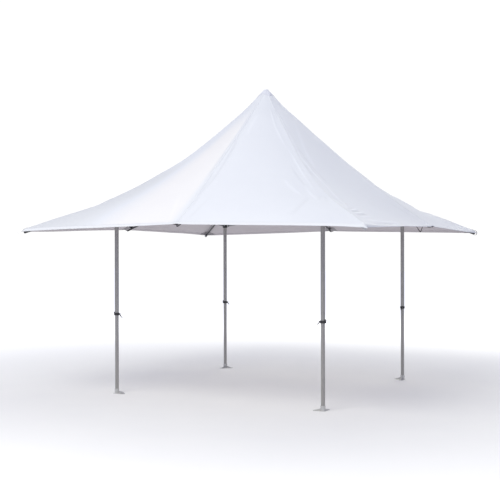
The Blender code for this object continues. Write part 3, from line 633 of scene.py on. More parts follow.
def sagging(reach, start, end, sag):
    """Height of a line that sags between two (reach, height) supports."""
    share = (reach - start[0]) / (end[0] - start[0])
    return start[1] + share * (end[1] - start[1]) - 4 * sag * share * (1 - share)


def ridge_height(reach):
    """Height of the ridge that runs from the mast head over a leg to a roof corner."""
    if reach < LEG_REACH:
        return sagging(reach, (PEAK_FLAT, PEAK), (LEG_REACH, LEG_HEAD), UPPER_SAG)
    return sagging(reach, (LEG_REACH, LEG_HEAD), (CORNER_REACH, CORNER_EAVE), LOWER_SAG)


def side_height(reach):
    """Height of the seam that runs from the mast head to the middle of an eave."""
    return sagging(reach, (PEAK_FLAT, PEAK), (SIDE_REACH, SIDE_EAVE), SIDE_SAG)


def eased(value):
    """A value held between 0 and 1, with a soft start and end."""
    held = min(max(value, 0.0), 1.0)
    return held * held * (3 - 2 * held)


def hump(value, middle, width, power=2):
    """A soft hump, which is 1 in its middle and dies out over a width."""
    return exp(-((value - middle) / width) ** power)


def plan(angle, out, aside=0.0):
    """The plan position that lies out from the mast at an angle and aside to the left of that."""
    return out * cos(angle) - aside * sin(angle), out * sin(angle) + aside * cos(angle)


def ridge_change(share, slack=False):
    """How the cloth along a ridge, which may be a slack one, differs from the frame's plain curve.

    It dips here and there, lies higher over the end of the corner arm, and comes down over that end like a
    nose.
    """
    reach = PEAK_FLAT + share * (CORNER_REACH - PEAK_FLAT)
    dips = RIDGE_DIPS + SLACK_DIPS if slack else RIDGE_DIPS
    dip = sum(depth * hump(reach, at, width, power) for depth, at, width, power in dips)
    return TIP_LIFT * eased((reach - TIP_FROM) / TIP_RUN) * eased((1 - share) / NOSE_RUN) - dip


@cache
def level_line(share):
    """Where the line across half a gore starts on the seam and ends on the ridge, and its length."""
    middle = PEAK_FLAT + share * (SIDE_REACH - PEAK_FLAT)
    corner = (PEAK_FLAT + share * (CORNER_REACH - PEAK_FLAT)) / sqrt(2)
    return middle, corner, hypot(corner - middle, corner)


def seam_height(quarter, reach):
    """Height of the seam in the middle of a side at a reach, as the photographed cloth hangs."""
    share = (reach - PEAK_FLAT) / (SIDE_REACH - PEAK_FLAT)
    return side_height(reach) + 4 * SEAM_TAUT[quarter] * share * (1 - share)


def roof_point(quarter, across, share):
    """A point of the smooth roof.

    across runs along an eave, from -1 at one corner through 0 at the side's middle to 1 at the next corner,
    and share from the mast head to the eave. The cloth is a round cone at the mast head, and further down it
    turns into four sides, whose ridges keep a soft edge.
    """
    middle, corner, length = level_line(share)
    t = abs(across)
    half = (quarter, across > 0)
    out = middle + t * (corner - middle)
    along = across * corner
    reach = hypot(out, along)
    side = seam_height(quarter, middle)
    flat = side + t * (ridge_height(corner * sqrt(2)) - side)
    ridgewards = sin(2 * atan2(abs(along), out)) ** 2
    cone = (1 - ridgewards) * seam_height(quarter, reach) + ridgewards * ridge_height(reach)
    roundness = FRONT_RIGHT_ROUND if half in FRONT_RIGHT else ROUND_TOP
    crisp = (1 - exp(-share / roundness)) * (1 - hump((1 - t) * length, 0, RIDGE_EDGE))
    height = cone + crisp * (flat - cone)
    height += BULGES[quarter] * (1 - share ** EAVE_TAUT) * t * (1 - t) * length ** 2 / 2
    height += ridge_change(share, half in BACK_RIGHT) * t ** 3
    rise, tilt = EAVE_SHIFTS[quarter]
    height += (rise + tilt * across) * share ** 6 * (1 - across ** 6)
    height -= NECK_DIP * hump(share, NECK_PLACE, NECK_SPREAD)
    spot = Vector((*plan((quarter - 1) * pi / 2, out, along), height))
    if share < LEAN_RUN:
        side = spot.dot(LEAN_WAY) / max(hypot(spot.x, spot.y), 0.001)
        kept = 1 - LEAN_FADE * eased((side + 1) / LEAN_SPREAD)
        spot += LEAN * kept * sin(pi * share / LEAN_RUN) ** 2 * LEAN_WAY
    return spot


def roof_normal(quarter, across, share):
    """Outward normal of the smooth roof, taken just beside the point so that it never straddles a seam."""
    step = 0.002
    first = min(max(across, -1 + step), 1 - step)
    if abs(first) < step:
        first = step if across >= 0 else -step
    second = min(max(share, step), 1 - step)
    side = roof_point(quarter, first + step / 2, second) - roof_point(quarter, first - step / 2, second)
    down = roof_point(quarter, first, second + step / 2) - roof_point(quarter, first, second - step / 2)
    normal = side.cross(down)
    return normal.normalized() if normal.z > 0 else -normal.normalized()


# Creases in the roof: plan points in order, height, half width. Negative heights are valleys.

DRAWN_CREASES = [
    # beside the front right ridge, from the mast head down
    ([(0.19, -0.18), (0.33, -0.295), (0.555, -0.508), (0.783, -0.730), (0.982, -0.924)], 0.0043, 0.013),
    ([(0.15, -0.22), (0.414, -0.549), (0.567, -0.702), (0.797, -0.916)], 0.0035, 0.014),
    ([(0.689, -0.687), (0.935, -0.879), (1.19, -1.08), (1.442, -1.264), (1.755, -1.585)], 0.0057, 0.013),
    ([(0.765, -0.669), (1.026, -0.869), (1.281, -1.04), (1.538, -1.238)], -0.0046, 0.014),
    ([(0.662, -0.748), (0.933, -1.029), (1.207, -1.333), (1.507, -1.672)], 0.0049, 0.014),
    ([(0.89, -1.12), (1.14, -1.37), (1.40, -1.69)], -0.0041, 0.015),
    ([(1.09, -1.371), (1.268, -1.531), (1.478, -1.743), (1.666, -1.913)], 0.0046, 0.016),
    ([(0.95, -1.44), (1.098, -1.60), (1.266, -1.726), (1.411, -1.82)], 0.0046, 0.019),
    ([(1.50, -1.33), (1.695, -1.50), (1.835, -1.638), (1.953, -1.802)], 0.0059, 0.014),
    # puckers that fan out over the right side behind that ridge
    ([(1.962, -1.88), (1.945, -1.74), (1.915, -1.55)], -0.0045, 0.015),
    ([(1.998, -1.91), (1.984, -1.76), (1.955, -1.54)], 0.0058, 0.015),
    ([(2.034, -1.94), (2.024, -1.79), (1.998, -1.55)], -0.0060, 0.015),
    ([(2.070, -1.95), (2.064, -1.80), (2.042, -1.53)], 0.0062, 0.015),
    ([(2.104, -1.98), (2.102, -1.82), (2.084, -1.52)], -0.0055, 0.015),
    ([(2.146, -1.99), (2.142, -1.78), (2.124, -1.50)], 0.0050, 0.016),
    ([(2.218, -2.025), (2.24, -1.729), (2.279, -1.325), (2.304, -0.956)], 0.0066, 0.020),
    ([(2.308, -2.111), (2.316, -1.774), (2.325, -1.274)], -0.0080, 0.020),
    # the lower part of the front
    ([(1.463, -1.779), (1.464, -1.995), (1.452, -2.16), (1.432, -2.30)], -0.0046, 0.019),
    ([(0.45, -0.13), (0.605, -0.28), (0.877, -0.625), (1.218, -0.987)], 0.0041, 0.022),
    # beside the seam in the middle of the front
    ([(0.034, -0.40), (0.038, -0.70), (0.045, -0.98), (0.072, -1.22)], -0.0034, 0.014),
    ([(0.045, -0.85), (0.066, -1.10), (0.078, -1.38), (0.076, -1.65), (0.058, -1.92)], -0.0066, 0.016),
    ([(0.030, -1.50), (0.036, -1.70), (0.036, -1.95), (0.030, -2.27)], -0.0060, 0.014),
    ([(-0.030, -0.90), (-0.040, -1.15), (-0.042, -1.45), (-0.035, -1.75)], -0.0040, 0.013),
    ([(0.105, -0.393), (0.120, -0.659), (0.125, -0.868)], 0.0030, 0.022),
]


def up_or_down(chance, low, high):
    """A height between two values, above or below the cloth."""
    return chance.choice((-1, 1)) * chance.uniform(low, high)


def corner_creases(sx, sy, chance):
    """Long pulls from the mast head to a leg's head, and short puckers that fan out past it."""
    found = []
    for n in range(5):
        lean = (n - 2) * radians(3.4) + radians(chance.uniform(-1.0, 1.0))
        start, end = chance.uniform(0.35, 0.8), chance.uniform(1.5, 2.0)
        points = []
        for step in range(4):
            angle = atan2(sy, sx) + lean * (1 - 0.75 * step / 3)
            points.append(plan(angle, start + (end - start) * step / 3))
        found.append((points, up_or_down(chance, 0.0014, 0.0028), chance.uniform(0.015, 0.026)))
    for n in range(5):
        angle = atan2(sy, sx) + (n - 2) * radians(17) + radians(chance.uniform(-5, 5))
        near, far = chance.uniform(0.12, 0.20), chance.uniform(0.34, 0.60)
        points = []
        for away in (near, (near + far) / 2, far):
            x, y = plan(angle, away)
            points.append((sx * LEG_HALF + x, sy * LEG_HALF + y))
        found.append((points, up_or_down(chance, 0.0022, 0.0048), chance.uniform(0.018, 0.030)))
    return found


def seam_creases(quarter, chance):
    """Soft folds beside a side's middle tape: a long pair down the cloth and a short pair at the eave."""
    angle = (quarter - 1) * pi / 2
    found = []
    for side in (-1, 1):
        points = []
        for step in range(5):
            away = side * (0.030 + 0.022 * step) + chance.uniform(-0.008, 0.008)
            points.append(plan(angle, 0.45 + 0.42 * step, away))
        found.append((points, chance.uniform(0.0012, 0.0026) * (1 if side < 0 else -1), 0.019))
    for side in (-1, 1):
        off = side * chance.uniform(0.09, 0.16)
        inner = chance.uniform(1.85, 2.05)
        points = [plan(angle, 2.36, off), plan(angle, (2.36 + inner) / 2, 1.6 * off),
                  plan(angle, inner, 2.2 * off)]
        found.append((points, chance.choice((-1, 1)) * 0.0022, 0.022))
    return found


def all_creases():
    """The drawn creases, and made ones wherever the drawn ones don't take their place."""
    chance = random.Random(11)
    found = list(DRAWN_CREASES)
    for corner, (sx, sy) in SIGNS.items():
        made = corner_creases(sx, sy, chance)
        found += made[5:] if corner == "front_right" else made
    for quarter in range(4):
        made = seam_creases(quarter, chance)
        found += made[2:] if quarter == 0 else made
    return found


def running(path):
    """Distances along a path of points, from its start to each of them."""
    runs = [0.0]
    for a, b in zip(path, path[1:]):
        runs.append(runs[-1] + (b - a).length)
    return runs


def crease_lines():
    """Each crease as straight stretches with the running distance at their ends."""
    lines = []
    for points, height, width in all_creases():
        places = [Vector((x, y, 0)) for x, y in points]
        low = Vector((min(p.x for p in places), min(p.y for p in places), 0))
        high = Vector((max(p.x for p in places), max(p.y for p in places), 0))
        lines.append((places, running(places), height, width, low, high))
    return lines


CREASES = crease_lines()


def crease_relief(spot):
    """Height that the creases add at a plan position: a soft rib, which fades at both of its ends."""
    total = 0.0
    flat = Vector((spot.x, spot.y, 0))
    for places, runs, height, width, low, high in CREASES:
        margin = 3 * width
        if not (low.x - margin < flat.x < high.x + margin and low.y - margin < flat.y < high.y + margin):
            continue
        nearest, at = 1e9, 0.0
        for n, (a, b) in enumerate(zip(places, places[1:])):
            way = b - a
            t = min(max((flat - a).dot(way) / way.length_squared, 0.0), 1.0)
            away = (flat - a - t * way).length
            if away < nearest:
                nearest, at = away, runs[n] + t * way.length
        if nearest < margin:
            total += height * hump(nearest, 0, width) * eased(min(at, runs[-1] - at) / (0.3 * runs[-1]))
    return total


def relief(spot, across, share):
    """How far the cloth stands off the smooth roof: creases, slow waves and pleats under the mast head."""
    waves = sum(high * noise.noise(Vector((spot.x * many, spot.y * many, level)))
                for many, high, level in WAVES)
    held = min(share / 0.25, 1.0) * (1 - hump(abs(across), 1, 0.05)) * (1 - hump(across, 0, 0.03))
    angle = atan2(spot.y, spot.x)
    pleats = PLEAT * hump(share, 0.035, 0.03) * (sin(9 * angle + 0.6) + 0.6 * sin(14 * angle))
    arm_end = ARM_PUSH * hump(across * CORNER, 0, 0.060) * hump(share * SIDE_REACH, SIDE_REACH, 0.070)
    return waves * held + pleats + arm_end + crease_relief(spot)


def cloth_point(quarter, across, share, proud=0.0):
    """A point of the roof's outside with all its creases, or that far proud of it."""
    spot = roof_point(quarter, across, share)
    normal = roof_normal(quarter, across, share)
    if abs(across) > 0.999:
        beside = (quarter + (1 if across > 0 else -1)) % 4
        normal = (normal + roof_normal(beside, -across, share)).normalized()
        outwards = Vector((spot.x, spot.y, 0)).normalized()
        normal = outwards * hypot(normal.x, normal.y) + Vector((0, 0, normal.z))
    return spot + normal * (relief(spot, across, share) + proud)


def crowded(t, by=CROWDING):
    """Grid positions from 0 to 1 moved towards both ends."""
    return t - by * sin(2 * pi * t) / (2 * pi)


def across_at(u):
    """Position along an eave for a grid position, crowded at the middle seam and at both ridges."""
    return crowded(2 * u) - 1 if u < 0.5 else crowded(2 * u - 1)


def half_width(share):
    """Length of the line across half a gore."""
    return level_line(share)[2]


def share_up(distance):
    """Share at a distance up from the eave."""
    return 1.0 - distance / SLOPE


def ridge_share(reach):
    """Share at a reach along a ridge."""
    return (reach - PEAK_FLAT) / (CORNER_REACH - PEAK_FLAT)


def sheet_grid(columns, rings, spot, coordinate, finer=()):
    """A sheet's grid, whose points and sheet coordinates come from (column, ring) fractions.

    coordinate may also be the sheet's plain (width, length). finer gives the (low, high) column and ring
    fractions of the areas that are divided once more, in order.
    """
    shape = bmesh.new()
    bmesh.ops.create_grid(shape, x_segments=columns, y_segments=rings, size=0.5, calc_uvs=True)
    for (left, right), (top, bottom) in finer:
        edges = set()
        for face in shape.faces:
            middle = face.calc_center_median()
            if left < middle.x + 0.5 < right and top < middle.y + 0.5 < bottom:
                edges.update(face.edges)
        bmesh.ops.subdivide_edges(shape, edges=list(edges), cuts=1, use_grid_fill=True)
    layer = shape.loops.layers.uv.verify()
    at = {v: (v.co.x + 0.5, v.co.y + 0.5) for v in shape.verts}
    for face in shape.faces:
        for loop in face.loops:
            u, v = at[loop.vert]
            if isinstance(coordinate, tuple):
                loop[layer].uv = (u * coordinate[0], v * coordinate[1])
            else:
                loop[layer].uv = coordinate(u, v)
    for vert in shape.verts:
        vert.co = spot(*at[vert])
    return shape


def point_outwards(shape):
    """Turns the whole shape inside out where most of it faces down."""
    shape.normal_update()
    if sum(f.normal.z * f.calc_area() for f in shape.faces) < 0:
        bmesh.ops.reverse_faces(shape, faces=shape.faces)
    return shape


def four_gores(columns, rings, spot, coordinate, finer=None):
    """A sheet of four gores, one a side, which is closed where they meet on the mast head.

    The functions are a grid's, with the side's quarter turns before the two fractions.
    """
    gores = []
    for quarter in range(4):
        grid = sheet_grid(columns[quarter], rings, partial(spot, quarter), partial(coordinate, quarter),
                          finer.get(quarter, ()) if finer else ())
        gores.append(point_outwards(grid))
    sheet = together(*gores)
    bmesh.ops.remove_doubles(sheet, verts=sheet.verts, dist=GORE_MERGE)
    rim = [e for e in sheet.edges if e.is_boundary and e.verts[0].co.z > PEAK - RIM_DROP]
    bmesh.ops.contextual_create(sheet, geom=rim)
    bmesh.ops.recalc_face_normals(sheet, faces=sheet.faces)
    return point_outwards(sheet)


def sewn_piece(name, shape, look, thickness, inside=None):
    """A piece of cloth from its outer face, with its thickness under that and maybe another look inside."""
    piece = new_piece(name, point_outwards(shape), look, smooth=None)
    wall = piece.modifiers.new("thickness", "SOLIDIFY")
    wall.thickness = thickness
    wall.offset = -1.0
    if inside:
        piece.data.materials.append(FINISH[inside])
        wall.material_offset = 1
    return piece


def painted_panel_light(spot):
    """Light or shade painted on the cloth: 0 for painted shade, 1 for painted light, 0.5 anywhere else.

    Only the left half of the front differs, with light painted beside the seam and shade painted further out.
    """
    out = -spot.y
    if out <= abs(spot.x) or spot.x >= 0:
        return 0.5
    aside = -spot.x / out
    # Painted light beside the seam, and painted shade further out where dull is high
    painted_light = eased(aside / 0.06) * (1 - eased((aside - 0.30) / 0.30)) * eased((out - 0.30) / 0.5)
    dull = eased((aside - 0.44) / 0.26) * eased((out - 0.9) / 0.4)
    return 0.5 + 0.5 * painted_light - 0.5 * dull


SHEETS = []  # the roof's sheet, once it is made, for what is sewn on it


def sewn_on(quarter, across, share, proud):
    """A point that far proud of the roof's sheet as it is made, facets and all."""
    drawn = cloth_point(quarter, across, share)
    way = cloth_point(quarter, across, share, 1.0) - drawn
    return SHEETS[0].find_nearest(drawn)[0] + proud * way


def seam_point(quarter, line, off, share, proud):
    """A point so many metres off to the right of a side's middle seam, or of the ridge after that side."""
    across = off / half_width(share)
    if line == "middle":
        return sewn_on(quarter, across, share, proud)
    if off <= 0:
        return sewn_on(quarter, 1 + across, share, proud)
    return sewn_on((quarter + 1) % 4, across - 1, share, proud)


def make_roof():
    """The roof: one continuous sheet, sewn from four gores and closed at the mast head."""
    def spot(quarter, u, v):
        return cloth_point(quarter, across_at(u), crowded(v, RING_CROWDING))

    def coordinate(quarter, u, v):
        share = crowded(v, RING_CROWDING)
        return (GORE_SPACING * quarter + across_at(u) * half_width(share), share * GORE_LENGTH)

    coarser = 1
    columns = [count // coarser for count in COLUMNS]
    sheet = four_gores(columns, RINGS // coarser, spot, coordinate, FINER)
    SHEETS.append(BVHTree.FromBMesh(sheet))
    sheet_piece = sewn_piece("roof_sheet", sheet, "roof", CLOTH, inside="roof_inside")
    for name, value_at in (("fold", crease_relief), ("panel_light_and_shade", painted_panel_light)):
        values = sheet_piece.data.attributes.new(name, "FLOAT", "POINT")
        values.data.foreach_set("value", [value_at(vert.co) for vert in sheet_piece.data.vertices])
    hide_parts("canopy")
    return sheet_piece


def make_seam_tapes():
    """Tapes over the ridges and the seams in the middle of the sides, outside and under the cloth."""
    tapes = []
    for side, quarter in SIDES.items():
        for line in ("middle", "ridge"):
            for face, proud, look in (("outer", SEAM_PROUD, "seam"), ("inner", SEAM_UNDER, "seam_inside")):
                def spot(u, v):
                    return seam_point(quarter, line, (u - 0.5) * SEAM_WIDTH, TAPE_FROM + TAPE_RUN * v, proud)

                shape = sheet_grid(4, 150, spot, (SEAM_WIDTH, TAPE_LENGTH))
                tapes.append(sewn_piece(f"seam_tape_{line}_{side}_{face}", shape, look, SEAM_THICK))
    return tapes


def make_hem(side, quarter):
    """The folded hem along an eave, wrapped round the edge of the cloth."""
    def spot(u, v):
        return cloth_point(quarter, across_at(u), share_up((1 - v) * HEM_WIDTH), HEM_PROUD)

    def coordinate(u, v):
        return ((1 - v) * HEM_WIDTH, across_at(u) * CORNER)

    shape = sheet_grid(COLUMNS[quarter], 4, spot, coordinate)
    return sewn_piece("hem_" + side, shape, "hem", CLOTH + 2 * HEM_PROUD, inside="hem_inside")


def make_peak_patch():
    """The round patch that doubles the cloth where it hangs on the mast head."""
    def spot(quarter, u, v):
        return sewn_on(quarter, across_at(u), PEAK_PATCH_FROM + PEAK_PATCH_RUN * v, PEAK_PATCH_PROUD)

    def coordinate(quarter, u, v):
        return ((1 - v) * SEAM_WIDTH, (quarter + u) * 0.30)

    return sewn_piece("peak_patch", four_gores((24,) * 4, 12, spot, coordinate), "peak", PEAK_PATCH_THICK)


def make_corner_patch(corner, quarter):
    """The three-cornered doubling sewn under the cloth at a roof corner."""
    along_eave, along_ridge = 0.185, 0.125

    def spot(u, v):
        grown = 0.05 + 0.95 * v
        eave_part = abs(2 * u - 1)
        across = 0.004 + grown * eave_part * along_eave / CORNER
        share = 1 - 0.0014 - grown * (1 - eave_part) * along_ridge / CORNER_REACH
        if u <= 0.5:
            return cloth_point(quarter, 1 - across, share, UNDERNEATH)
        return cloth_point((quarter + 1) % 4, across - 1, share, UNDERNEATH)

    return sewn_piece("corner_patch_" + corner, sheet_grid(16, 10, spot, (0.3, 0.2)), "pocket", DOUBLING)


def make_head_patch(corner, quarter):
    """The square doubling sewn under the cloth where it lies on a leg's head."""
    def spot(u, v):
        share = ridge_share(LEG_REACH) + (v - 0.5) * 0.060
        return seam_point(quarter, "ridge", (u - 0.5) * 0.20, share, HEAD_PATCH_UNDER)

    return sewn_piece("head_patch_" + corner, sheet_grid(18, 12, spot, (0.2, 0.2)), "pocket", DOUBLING)


def make_side_pocket(side, quarter):
    """The pocket under the middle of an eave that takes the end of a side arm."""
    depth, eave_half, inner_half, length = 0.042, 0.115, 0.070, 0.105

    def spot(u, v):
        distance = 0.004 + length * (1 - v)
        off = (2 * u - 1) * (eave_half + (inner_half - eave_half) * (1 - v))
        nose = sqrt(1 - max(0.0, 1 - distance / 0.034) ** 2)
        swell = cos(pi / 2 * min(abs(off) / 0.060, 1.0)) ** 2
        share = share_up(distance)
        return cloth_point(quarter, off / half_width(share), share, UNDERNEATH - depth * swell * nose)

    piece = sewn_piece("side_pocket_" + side, sheet_grid(36, 22, spot, (0.25, length)), "pocket", DOUBLING)


def ribbon(path, width, sideways, thickness):
    """A flat strap along a path of points, with its width in the sideways direction."""
    last = len(path) - 1
    runs = running(path)

    def spot(u, v):
        return path[round(v * last)] + (u - 0.5) * width * sideways

    def coordinate(u, v):
        return (u * width, runs[round(v * last)])

    shape = sheet_grid(2, last, spot, coordinate)
    bmesh.ops.solidify(shape, geom=shape.faces, thickness=thickness)
    bmesh.ops.recalc_face_normals(shape, faces=shape.faces)
    return shape


def arm_line(way, height, root, end, crease):
    """Start and end of the axis of an arm under the roof, whose sloping, creased cloth its cap just clears.

    The arm runs along a plan direction, with the roof's height over it as a function of the reach.
    """
    slope = (height(end - SLOPE_RUN) - height(end)) / SLOPE_RUN
    end_height = height(end) - (CAP_RADIUS + ARM_BELOW) * sqrt(1 + slope * slope + crease * crease)
    start_height = TRUSS_HIGH + ARM_START / (end - root) * (end_height - TRUSS_HIGH)
    return (root + ARM_START) * way + start_height * UP, end * way + end_height * UP


def corner_way(corner):
    """Plan direction from the mast to a corner."""
    return Vector((*SIGNS[corner], 0)).normalized()


def corner_arm_line(corner):
    """Start and end of a corner arm's axis."""
    return arm_line(corner_way(corner), ridge_height, LEG_REACH, CORNER_REACH - CORNER_ARM_END, CORNER_CREASE)


def side_arm_line(quarter):
    """Start and end of a side arm's axis."""
    way = Vector((*plan((quarter - 1) * pi / 2, 1), 0))
    return arm_line(way, side_height, LEG_HALF, SIDE_REACH - SIDE_ARM_END, SIDE_CREASE)


def make_corner_tab(corner):
    """The white webbing sewn over the roof's corner, which wraps the end of the arm there."""
    way = corner_way(corner)
    nose, hang = TAB_NOSES[corner]
    path = []
    for reach in TAB_ON_ROOF:
        path.append(way * reach + UP * (ridge_height(reach) + ridge_change(ridge_share(reach)) + 0.004))
    top = path[-1].z
    low = corner_arm_line(corner)[1].z - CAP_RADIUS - 0.003
    for n in range(1, 13):
        t = pi / 2 - n * pi / 12
        height = (top + low) / 2 + (top - low) / 2 * sin(t) - hang * cos(t)
        path.append(way * (TAB_BEND + (nose - TAB_BEND) * cos(t)) + UP * height)
    path.append(way * TAB_END + UP * (low + 0.004))
    shape = ribbon(path, TAB_WIDTH, UP.cross(way), 0.0016)
    return new_piece("corner_tab_" + corner, shape, "white_web", smooth=60)


def make_corner_sleeve():
    """The white sleeve that is pulled down over the cap of the front right arm."""
    start, end = corner_arm_line("front_right")
    length = (end - start).length
    radius = CAP_RADIUS + 0.0015
    profile = [(0, length - 0.082), (radius, length - 0.082), (radius + 0.0012, length - 0.078),
               (radius, length - 0.070), (radius + 0.0008, length - 0.040), (radius, length - 0.012),
               (radius - 0.004, length + 0.0015), (0, length + 0.003)]
    shape = point_at(turned(profile), start, end - start)
    return new_piece("corner_sleeve_front_right", shape, "white_web", smooth=60)


def make_corner_ear():
    """The small ear of hemmed cloth that sticks out and down at the front right corner."""
    top, drop, out = CORNER_EAVE + 0.006, 0.016, 0.020

    def spot(along, up):
        down = 1 - up
        x = CORNER + 0.022 * down - (1 - along) * 0.075 * (1 - 0.62 * down)
        y = -CORNER - 0.0025 - out * down - 0.004 * sin(pi * along) * sin(pi * down)
        return (x, y, top - drop * down * (0.55 + 0.45 * along))

    return sewn_piece("corner_ear_front_right", sheet_grid(10, 8, spot, (1, 1)), "hem", 0.0014)


def make_tie_strap():
    """The dark strap that hangs in a V under the roof behind the back right leg."""
    path = []
    for (x, y), steps in ((STRAP_ENDS[0], range(13)), (STRAP_ENDS[1], range(11, -1, -1))):
        end = Vector((x, y, ridge_height(hypot(x, y)) - 0.035))
        for n in steps:
            t = n / 12
            path.append(end.lerp(STRAP_LOW, t) - 0.006 * sin(pi * t) * UP)
    shape = ribbon(path, STRAP_WIDTH, Vector((0.887, 0.462, 0)), 0.0014)
    strap = new_piece("tie_strap", shape, "dark_web", smooth=60)


roof = make_roof()
trim = [*make_seam_tapes(), make_peak_patch()]
trim += [make_hem(side, quarter) for side, quarter in SIDES.items()]
for quarter, corner in enumerate(("front_right", "back_right", "back_left", "front_left")):
    trim.append(make_corner_patch(corner, quarter))
    trim.append(make_head_patch(corner, quarter))
trim += [make_corner_tab(corner) for corner in TAB_NOSES]
trim += [make_corner_sleeve(), make_corner_ear()]
for side, quarter in SIDES.items():
    make_side_pocket(side, quarter)
make_tie_strap()


# Frame pieces

def make_arm(name, start, end):
    """A round arm with a ribbed collar and a domed cap on its outer end."""
    length = (end - start).length
    cap = length - CAP_LENGTH
    collar = []
    for n in range(4):
        base = cap + CAP_STEP + 0.004 + 0.006 * n
        collar += [(CAP_RADIUS, base), (CAP_RADIUS - 0.001, base + 0.001), (CAP_RADIUS - 0.001, base + 0.003),
                   (CAP_RADIUS, base + 0.004)]
    angles = [n * pi / 16 for n in range(8)]
    dome = [(CAP_RADIUS * cos(t), length - CAP_RADIUS * (1 - sin(t))) for t in angles]
    profile = [(0, 0), (ARM_RADIUS - 0.001, 0), (ARM_RADIUS, 0.001), (ARM_RADIUS, cap),
               (CAP_RADIUS, cap + CAP_STEP)]
    shape = turned([*profile, *collar, *dome, (0, length)])
    piece = new_piece(name + "_finished", point_at(shape, start, end - start), "arm", smooth=40)
    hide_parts(name)


def make_truss_bolts(side, quarter):
    """Bolts and nuts at a side's pivots and crossings, and the heads on its two joints."""
    out = Vector((0, -1, 0))
    made = []
    for x in (-PIVOT, PIVOT):
        made += bolted(BOLT, (x, -LEG_HALF, TRUSS_HIGH), out, LUG_FACE, BAR_FACE)
        made += bolted(BOLT, (x, -LEG_HALF, TRUSS_LOW), out, BAR_FACE, LUG_FACE)
        made += bolted(BOLT, (x / 2, -LEG_HALF, TRUSS_MIDDLE), out, BAR_FACE, BAR_FACE)
    for x in (-0.018, 0.018):
        made.append((bolt(BOLT), (x, -LEG_HALF - JOINT_FACE, TRUSS_HIGH), out))
        made.append((bolt(BOLT), (x, -LEG_HALF + 0.0002, TRUSS_LOW), out))
    fasteners("truss_bolts_" + side, made, turn=quarter * pi / 2)


def make_hub_bolts(side, quarter):
    """Bolts and nuts on the two bars that run from the hubs to one side."""
    right, left = Vector((0, 1, 0)), Vector((0, -1, 0))
    made = bolted(BOLT, (PIVOT, 0, TRUSS_LOW), right, BAR_FACE, LUG_FACE)
    made += bolted(BOLT, (PIVOT, 0, TRUSS_HIGH), left, BAR_FACE, LUG_FACE)
    made += bolted(BOLT, ((HUB_START + PIVOT) / 2, 0, TRUSS_MIDDLE), left, BAR_FACE, BAR_FACE)
    root = HUB_FACE + 0.016
    fall = (TRUSS_HIGH - TRUSS_LOW) * (root - HUB_START) / (PIVOT - HUB_START)
    made.append((rivet(0.006), (root, BAR_FACE, TRUSS_HIGH - fall), right))
    made.append((rivet(0.006), (root, -BAR_FACE, TRUSS_LOW + fall), left))
    fasteners("hub_bolts_" + side, made, turn=(quarter - 1) * pi / 2)


def leg_place(corner):
    """Plan position of a leg's axis."""
    sx, sy = SIGNS[corner]
    return (sx * LEG_HALF, sy * LEG_HALF, 0)


def make_clamp_bolts(corner, turn):
    """The bolt and screw in a clamp's boss and the pin's heads on its ears."""
    back = -CLAMP_WIDTH / 2 - BOSS_THICKNESS
    made = [(bolt(SMALL_BOLT), (back, 0, CLAMP + 0.018), (-1, 0, 0)),
            (rivet(0.0040), (back, 0, CLAMP - 0.004), (-1, 0, 0))]
    for side in (-1, 1):
        made.append((rivet(0.0045), (LEVER_PIVOT, side * EAR_FACE, CLAMP), (0, side, 0)))
    fasteners("clamp_bolts_" + corner, made, on="clamp_" + corner, turn=turn, position=leg_place(corner))


def make_lever_grip(corner, turn):
    """The ribs on a clamp's lever."""
    ribs = []
    for n in range(5):
        spot = LEVER_PIN + LEVER_WAY * (0.024 + 0.0045 * n) + LEVER_UP * LEVER_THICKNESS / 2
        ribs.append((rod(0.0010, 0.011, sides=12), spot - Vector((0, 0.0055, 0)), (0, 1, 0)))
    fasteners("lever_grip_" + corner, ribs, look="nylon", on="clamp_lever_" + corner, turn=turn,
              position=leg_place(corner))


def make_lever_ring(corner, turn):
    """The wire ring that hangs on a lever's end."""
    ring = bmesh.new()
    start = Matrix.Translation((0.013, 0, 0)) @ Matrix.Rotation(pi / 2, 4, "X")
    bmesh.ops.create_circle(ring, segments=14, radius=0.0022, matrix=start)
    bmesh.ops.spin(ring, geom=ring.verts[:] + ring.edges[:], cent=(0, 0, 0), axis=(0, 0, 1), angle=2 * pi,
                   steps=40, use_merge=True)
    hung = LEVER_PIN + LEVER_WAY * (LEVER_LENGTH + 0.008)
    fasteners("lever_ring_" + corner, [(closed(ring), hung, LEVER_UP)], on="clamp_lever_" + corner, turn=turn,
              position=leg_place(corner))


def make_slider_latch(corner):
    """The round button on a slider that releases it from the leg."""
    sx, sy = SIGNS[corner]
    button = turned([(0, -0.001), (0.012, -0.001), (0.012, 0.004), (0.0105, 0.0065), (0.007, 0.0072),
                     (0.006, 0.0055), (0, 0.0055)])
    spot = (sx * (LEG_HALF + BRACKET_WIDTH / 2), sy * LEG_HALF, TRUSS_LOW)
    fasteners("slider_latch_" + corner, [(button, spot, (sx, 0, 0))], look="nylon", on="slider_" + corner)


def make_foot_bolts(corner):
    """The bolt through a foot's socket and the nut on its other side."""
    sx, sy = SIGNS[corner]
    spot = (sx * LEG_HALF, sy * LEG_HALF, 0.050)
    made = bolted(SMALL_BOLT, spot, (sx, 0, 0), SOCKET_WIDTH / 2, SOCKET_WIDTH / 2)
    fasteners("foot_bolts_" + corner, made, on="foot_" + corner)


def make_mast_collar():
    """The collar at the step between the mast's two halves."""
    low, high = MAST_STEP - 0.030, MAST_STEP + 0.006
    shape = turned([(0, low), (0.026, low), (0.028, low + 0.002), (0.028, high - 0.004), (0.024, high),
                    (0, high)])
    new_piece("mast_collar", shape, "nylon", smooth=40)


